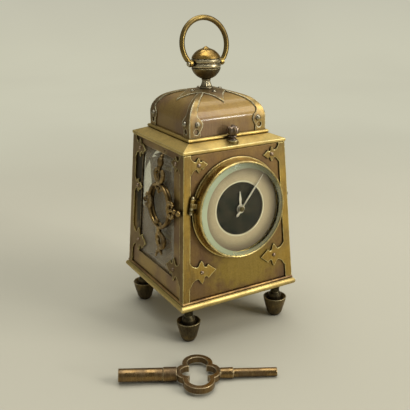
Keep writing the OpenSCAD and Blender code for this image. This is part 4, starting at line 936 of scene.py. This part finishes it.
class Casting:
    """A bmesh that grows from rings, turned shapes and other shapes, in millimetres."""

    def __init__(self) -> None:
        """Starts empty."""
        self.mesh = bmesh.new()

    def add(self, *shapes: Shape, lift: float = 0.0) -> None:
        """Draws shapes in their order, moved along the third axis."""
        for shape in shapes:
            shape.draw(self.mesh, lift)

    def torus(self, place: Triple, radius: float, wire: float, steps: int = 72, sides: int = 12) -> None:
        """Adds a ring of round wire that lies flat, by spinning a circle.

        Args:
            place: its middle.
            radius: its radius to the middle of the wire.
            wire: the radius of the wire.
            steps: the number of steps round the ring.
            sides: the number of sides of the wire.
        """
        x, y, z = place
        stand = Matrix.Translation((x + radius, y, z)) @ Matrix.Rotation(QUARTER, 4, "X")
        made = bmesh.ops.create_circle(self.mesh, cap_ends=False, segments=sides, radius=wire, matrix=stand)["verts"]
        edges = list({edge for vert in made for edge in vert.link_edges})
        self._spin([*made, *edges], place, steps)

    def _spin(self, parts: list[Any], middle: Triple, steps: int) -> None:
        """Spins vertices and edges once round an upright axis."""
        bmesh.ops.spin(self.mesh, geom=parts, cent=middle, axis=(0, 0, 1), angle=math.tau, steps=steps, use_merge=True)

    def turned(self, outline: tuple[tuple[float, float], ...], steps: int = 48) -> list[bmesh.types.BMVert]:
        """Spins an outline that starts and ends on the axis, or that is closed.

        Args:
            outline: pairs of radius and height.
            steps: the number of steps round.

        Returns:
            The vertices of the turned shape.
        """
        before = set(self.mesh.verts)
        points = [self.mesh.verts.new((radius, 0.0, height)) for radius, height in outline]
        edges = [self.mesh.edges.new(pair) for pair in zip(points, points[1:])]
        self._spin([*points, *edges], (0, 0, 0), steps)
        fresh = [vert for vert in self.mesh.verts if vert not in before]
        bmesh.ops.remove_doubles(self.mesh, verts=fresh, dist=JOIN_TURNED)
        return [vert for vert in self.mesh.verts if vert not in before]

    def placed(self, matrix: Matrix) -> bmesh.types.BMesh:
        """Gives the finished bmesh, moved by a matrix."""
        bmesh.ops.transform(self.mesh, matrix=matrix, verts=self.mesh.verts)
        return self.mesh


@dataclass
class SideOrnament:
    """The cast ring with scrolled sprigs that hangs in front of a side window.

    Its frame is that of the face, with X towards the front of the clock and the ring's middle at the origin. The
    shapes are the sprigs, stems and buds round the ring, its inner hooks, and the long scroll below it, with heights
    over the ring. The right ornament is a little nearer to its pane.
    """

    side: Side
    case: Case
    shift: float = 7.5
    up: float = 42.98
    ring_r: float = 10.7
    ring_step: float = 0.2
    wire: float = 1.0
    out: float = 1.9
    right_nearer: float = 1.0
    back_drop: float = 1.7
    back_wire: float = 0.9
    pin_at: float = 15.4
    pin_r: float = 0.5
    shapes: tuple[Shape, ...] = (
        Sprig(0, 11.4, 1.0, 8.0),
        Rod(((0.2, 18.0), (0.6, 20.0), (0.9, 22.0)), (1.0, 0.9, 1.1)),
        Bead((1.1, 22.4, 0.1), (2.0, 2.5, 1.6)),
        Bead((1.4, 24.8, -0.3), (1.0, 1.2, 1.0)),
        Rod(((1.3, 24.0, -0.8), (1.4, 26.4, -1.0)), (0.6, 0.6)),
        Sprig(84, 9.3, 0.88, 8.8),
        Bead((19.9, 1.6, -0.4), (1.5, 1.6, 1.2)),
        Sprig(-93, 8.3, 0.86, 8.4),
        Bead((-0.3, -8.3, 0.3), (1.3, 1.4, 1.2)),
        Bead((-0.2, 8.0, 0.0), (1.2, 1.9, 1.0)),
        *(Rod(((hand * 3.6, root), (hand * 2.4, bend), (hand * 1.0, tip)), (0.8, 0.8, 0.5))
          for hand in (-1, 1) for root, bend, tip in ((9.9, 8.4, 8.2), (-9.9, -8.7, -8.9))),
        Rod(
            ((0.4, -11.2), (1.2, -13.4), (3.6, -14.4), (5.9, -15.6), (6.8, -17.6), (5.6, -19.8), (3.0, -21.0),
             (0.9, -22.8), (-0.9, -25.2), (-2.0, -27.4)),
            (1.1, 1.25, 1.2, 1.3, 1.4, 1.5, 1.5, 1.2, 0.8, 0.35),
        ),
        Rod(((1.0, -12.8), (-0.6, -15.2), (-0.2, -18.2), (1.8, -20.8)), (1.0, 1.15, 1.25, 1.2)),
        Rod(((1.4, -22.2), (3.4, -23.0), (4.4, -24.6)), (1.0, 0.9, 0.5)),
        Bead((6.6, -17.4, 0.3), (1.5, 1.9, 1.2), 20.0),
    )

    def build(self, workshop: Workshop) -> bpy.types.Object:
        """Casts the ornament and puts it in place of its CAD node.

        Args:
            workshop: the maker of pieces.

        Returns:
            The new object.
        """
        left = self.side is Side.LEFT
        cast, z = Casting(), self.out if left else self.out - self.right_nearer
        cast.torus((0, 0, z), self.ring_r + self.ring_step, self.wire)
        cast.torus((0, 0, z - self.back_drop), self.ring_r - self.ring_step, self.back_wire)
        cast.add(*self.shapes, lift=z)
        cast.add(Rod(((self.pin_at, 0, -self.out), (self.pin_at, 0, z)), (self.pin_r, self.pin_r)))
        hand = Matrix.Diagonal((-self.side.value, 1, 1, 1))
        lift = Matrix.Translation((-self.side.value * self.shift, self.up, 0))
        mesh = cast.placed(self.case.face(3 if left else 1) @ lift @ hand)
        item = workshop.piece(f"side_ornament_{self.side.name.lower()}", mesh, "ornament", "case")
        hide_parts(f"side_cross_{self.side.name.lower()}")
        return item


@dataclass
class BudKnob:
    """The push button in the form of a flower bud."""

    OUTLINE = (
        (0, 94.8), (0.6, 94.8), (0.6, 95.4), (0.85, 95.4), (0.85, 96.0), (0.6, 96.0), (0.6, 99.6), (1.85, 99.6),
        (1.85, 100.2), (1.5, 100.5), (1.3, 100.9), (1.35, 101.3), (2.0, 101.6), (2.05, 101.9), (1.6, 102.2),
        (2.2, 102.7), (2.6, 103.5), (2.5, 105.1), (1.6, 106.2), (0, 106.6),
    )

    y: float = -25.2
    petals: int = 6
    petal_z: float = 104.4
    petal_r: float = 1.95
    petal_size: Triple = (1.2, 1.1, 2.0)
    petal_turn: float = 0.3
    tip_z: float = 106.5
    tip_size: Triple = (1.1, 1.1, 0.75)

    def build(self, workshop: Workshop) -> bpy.types.Object:
        """Turns the stem, adds the petals and replaces the CAD button.

        Args:
            workshop: the maker of pieces.

        Returns:
            The new object.
        """
        cast = Casting()
        cast.turned(self.OUTLINE)
        for k in range(self.petals):
            angle = math.tau * (k + self.petal_turn) / self.petals
            place = (self.petal_r * math.cos(angle), self.petal_r * math.sin(angle), self.petal_z)
            cast.add(Bead(place, self.petal_size, math.degrees(angle)))
        cast.add(Bead((0, 0, self.tip_z), self.tip_size))
        mesh = cast.placed(Matrix.Scale(MM, 4) @ Matrix.Translation((0, self.y, 0)))
        item = workshop.piece("bud_knob", mesh, "button_bronze", "button")
        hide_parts("push_button")
        return item


@dataclass
class FlutedNeck:
    """The fluted neck under the finial."""

    OUTLINE = (
        (3.4, 0.0), (3.45, 0.3), (3.2, 0.6), (2.95, 0.8), (2.6, 1.5), (2.3, 2.3), (2.1, 3.1), (2.05, 3.6), (2.3, 3.9),
        (2.3, 4.2),
    )

    foot: float = 121.35
    height: float = 4.5
    bore_r: float = 1.3
    top_r: float = 2.0
    steps: int = 96
    flutes: int = 12
    flute_depth: float = 0.13
    flute_inside: float = 1.9
    flute_low: float = 0.65
    flute_high: float = 3.8
    smooth_angle: float = 50.0

    def build(self, workshop: Workshop) -> bpy.types.Object:
        """Turns the neck, cuts the flutes and replaces the CAD neck.

        Args:
            workshop: the maker of pieces.

        Returns:
            The new object.
        """
        cast = Casting()
        low, top = self.foot, self.foot + self.height
        outer = tuple((radius, low + rise) for radius, rise in self.OUTLINE)
        verts = cast.turned(((self.bore_r, low), *outer, (self.top_r, top), (self.bore_r, top), (self.bore_r, low)),
                            self.steps)
        for vert in verts:
            x, y, z = vert.co
            if math.hypot(x, y) > self.flute_inside and low + self.flute_low < z < low + self.flute_high:
                cut = 1 - self.flute_depth * (0.5 - 0.5 * math.cos(self.flutes * math.atan2(y, x)))
                vert.co.x, vert.co.y = x * cut, y * cut
        mesh = cast.placed(Matrix.Scale(MM, 4))
        item = workshop.piece("fluted_neck", mesh, "pale_metal", "case", self.smooth_angle)
        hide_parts("finial_neck")
        return item


@dataclass(frozen=True)
class Lamp:
    """A soft rectangular lamp.

    It has its name, its place, the point that it faces, its width and height in metres, its power in watts and its
    colour.
    """

    name: str
    place: Triple
    aim: Triple
    size: tuple[float, float]
    power: float
    colour: str

    def hang(self) -> None:
        """Adds the lamp to the scene."""
        data = bpy.data.lights.new(self.name, "AREA")
        data.shape = "RECTANGLE"
        data.size, data.size_y = self.size
        data.energy = self.power
        data.color = srgb(self.colour)
        item = shown(self.name, data)
        item.location = self.place
        item.rotation_euler = (Vector(self.place) - Vector(self.aim)).to_track_quat("Z", "Y").to_euler()


# The middle of the clock, which most lamps face, in metres.
MIDDLE = (0.0, 0.0, 0.07)

LAMPS = (
    Lamp("Overhead", (0.1, 0.1, 1.1), MIDDLE, (1.0, 1.0), 11.0, "fcfcfa"),
    Lamp("Window", (0.65, -0.8, 0.7), MIDDLE, (0.6, 0.5), 8.0, "fffcf6"),
    Lamp("Shoulder light", (0.46, -0.79, 0.2), (0.0, -0.02, 0.11), (0.08, 0.05), 1.5, "fffef8"),
    Lamp("Left fill", (-0.9, -0.3, 0.5), MIDDLE, (0.7, 0.7), 0.3, "f4f4f8"),
)


@dataclass
class Studio:
    """The floor, the lamps, the world and the camera.

    The eye is in millimetres and its angles are in degrees. The sizes of the paper sweep are in metres.
    """

    lens: float = SENSOR_WIDTH * FOCAL_PIXELS / IMAGE_SIDE
    eye: Triple = (-159.985, -280.197, 171.851)
    yaw: float = -29.518
    pitch: float = 19.213
    roll: float = -0.542
    clip_start: float = 0.01
    bend_r: float = 0.35
    bend_steps: int = 14
    floor_ends: tuple[float, float] = (-1.2, 0.9)
    half_width: float = 3.0
    wall_top: float = 2.2
    air: str = "d6d7d0"
    air_strength: float = 0.38

    def camera(self) -> None:
        """Puts the camera at the photograph's place and angle."""
        yaw, pitch, roll = (math.radians(a) for a in (self.yaw, self.pitch, self.roll))
        back = Vector((math.sin(yaw) * math.cos(pitch), -math.cos(yaw) * math.cos(pitch), math.sin(pitch)))
        level = Vector((math.cos(yaw), math.sin(yaw), 0))
        above = back.cross(level)
        right = math.cos(roll) * level + math.sin(roll) * above
        up = -math.sin(roll) * level + math.cos(roll) * above
        data = bpy.data.cameras.new("Camera")
        data.sensor_width = SENSOR_WIDTH
        data.lens = self.lens
        data.clip_start = self.clip_start
        item = shown("Camera", data)
        place = Matrix((right, up, back)).transposed().to_4x4()
        place.translation = Vector(self.eye) * MM
        item.matrix_world = place
        bpy.context.scene.camera = item

    def sweep(self, workshop: Workshop) -> None:
        """Lays the floor and curves it up behind the clock.

        Args:
            workshop: the keeper of the shared effects.
        """
        mesh = bmesh.new()
        front, back = self.floor_ends
        outline = [(front, 0.0), (back, 0.0)]
        for k in range(1, self.bend_steps + 1):
            turn = QUARTER * k / self.bend_steps
            outline.append((back + self.bend_r * math.sin(turn), self.bend_r * (1 - math.cos(turn))))
        outline.append((back + self.bend_r, self.wall_top))
        points = [mesh.verts.new((-self.half_width, y, z)) for y, z in outline]
        edges = [mesh.edges.new(pair) for pair in zip(points, points[1:])]
        moved = bmesh.ops.extrude_edge_only(mesh, edges=edges)["geom"]
        far = [vert for vert in moved if isinstance(vert, bmesh.types.BMVert)]
        bmesh.ops.translate(mesh, vec=(2 * self.half_width, 0, 0), verts=far)
        bmesh.ops.recalc_face_normals(mesh, faces=mesh.faces)
        if sum(face.normal.z for face in mesh.faces) < 0:
            bmesh.ops.reverse_faces(mesh, faces=mesh.faces)
        for face in mesh.faces:
            face.smooth = True
        data = bpy.data.meshes.new("Sweep")
        mesh.to_mesh(data)
        mesh.free()
        data.transform(Matrix.Rotation(math.radians(self.yaw), 4, "Z"))
        data.materials.append(Paper().material(workshop.effects))
        item = shown("Sweep", data)

    def world(self) -> None:
        """Surrounds the scene with an even pale grey."""
        world = bpy.data.worlds.new("Studio air")
        world.use_nodes = True
        world.node_tree.nodes.clear()
        g = Graph(world.node_tree)
        sky = g.add("Background", {"Color": srgb(self.air), "Strength": self.air_strength})
        g.add("OutputWorld", {"Surface": sky.outputs[0]})
        bpy.context.scene.world = world

    def build(self, workshop: Workshop) -> None:
        """Builds the whole studio.

        Args:
            workshop: the keeper of the shared effects.
        """
        self.camera()
        self.sweep(workshop)
        self.world()
        for lamp in LAMPS:
            lamp.hang()
        bpy.context.scene.view_settings.view_transform = "Standard"


def main() -> None:
    """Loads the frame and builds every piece."""
    logging.basicConfig(level=logging.INFO, format="%(name)s: %(message)s")
    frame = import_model()
    workshop = Workshop()
    workshop.dress(frame)
    case = Case()
    for side in Side:
        SideOrnament(side, case).build(workshop)
    BudKnob().build(workshop)
    FlutedNeck().build(workshop)
    Studio().build(workshop)


if __name__ == "__main__":
    main()
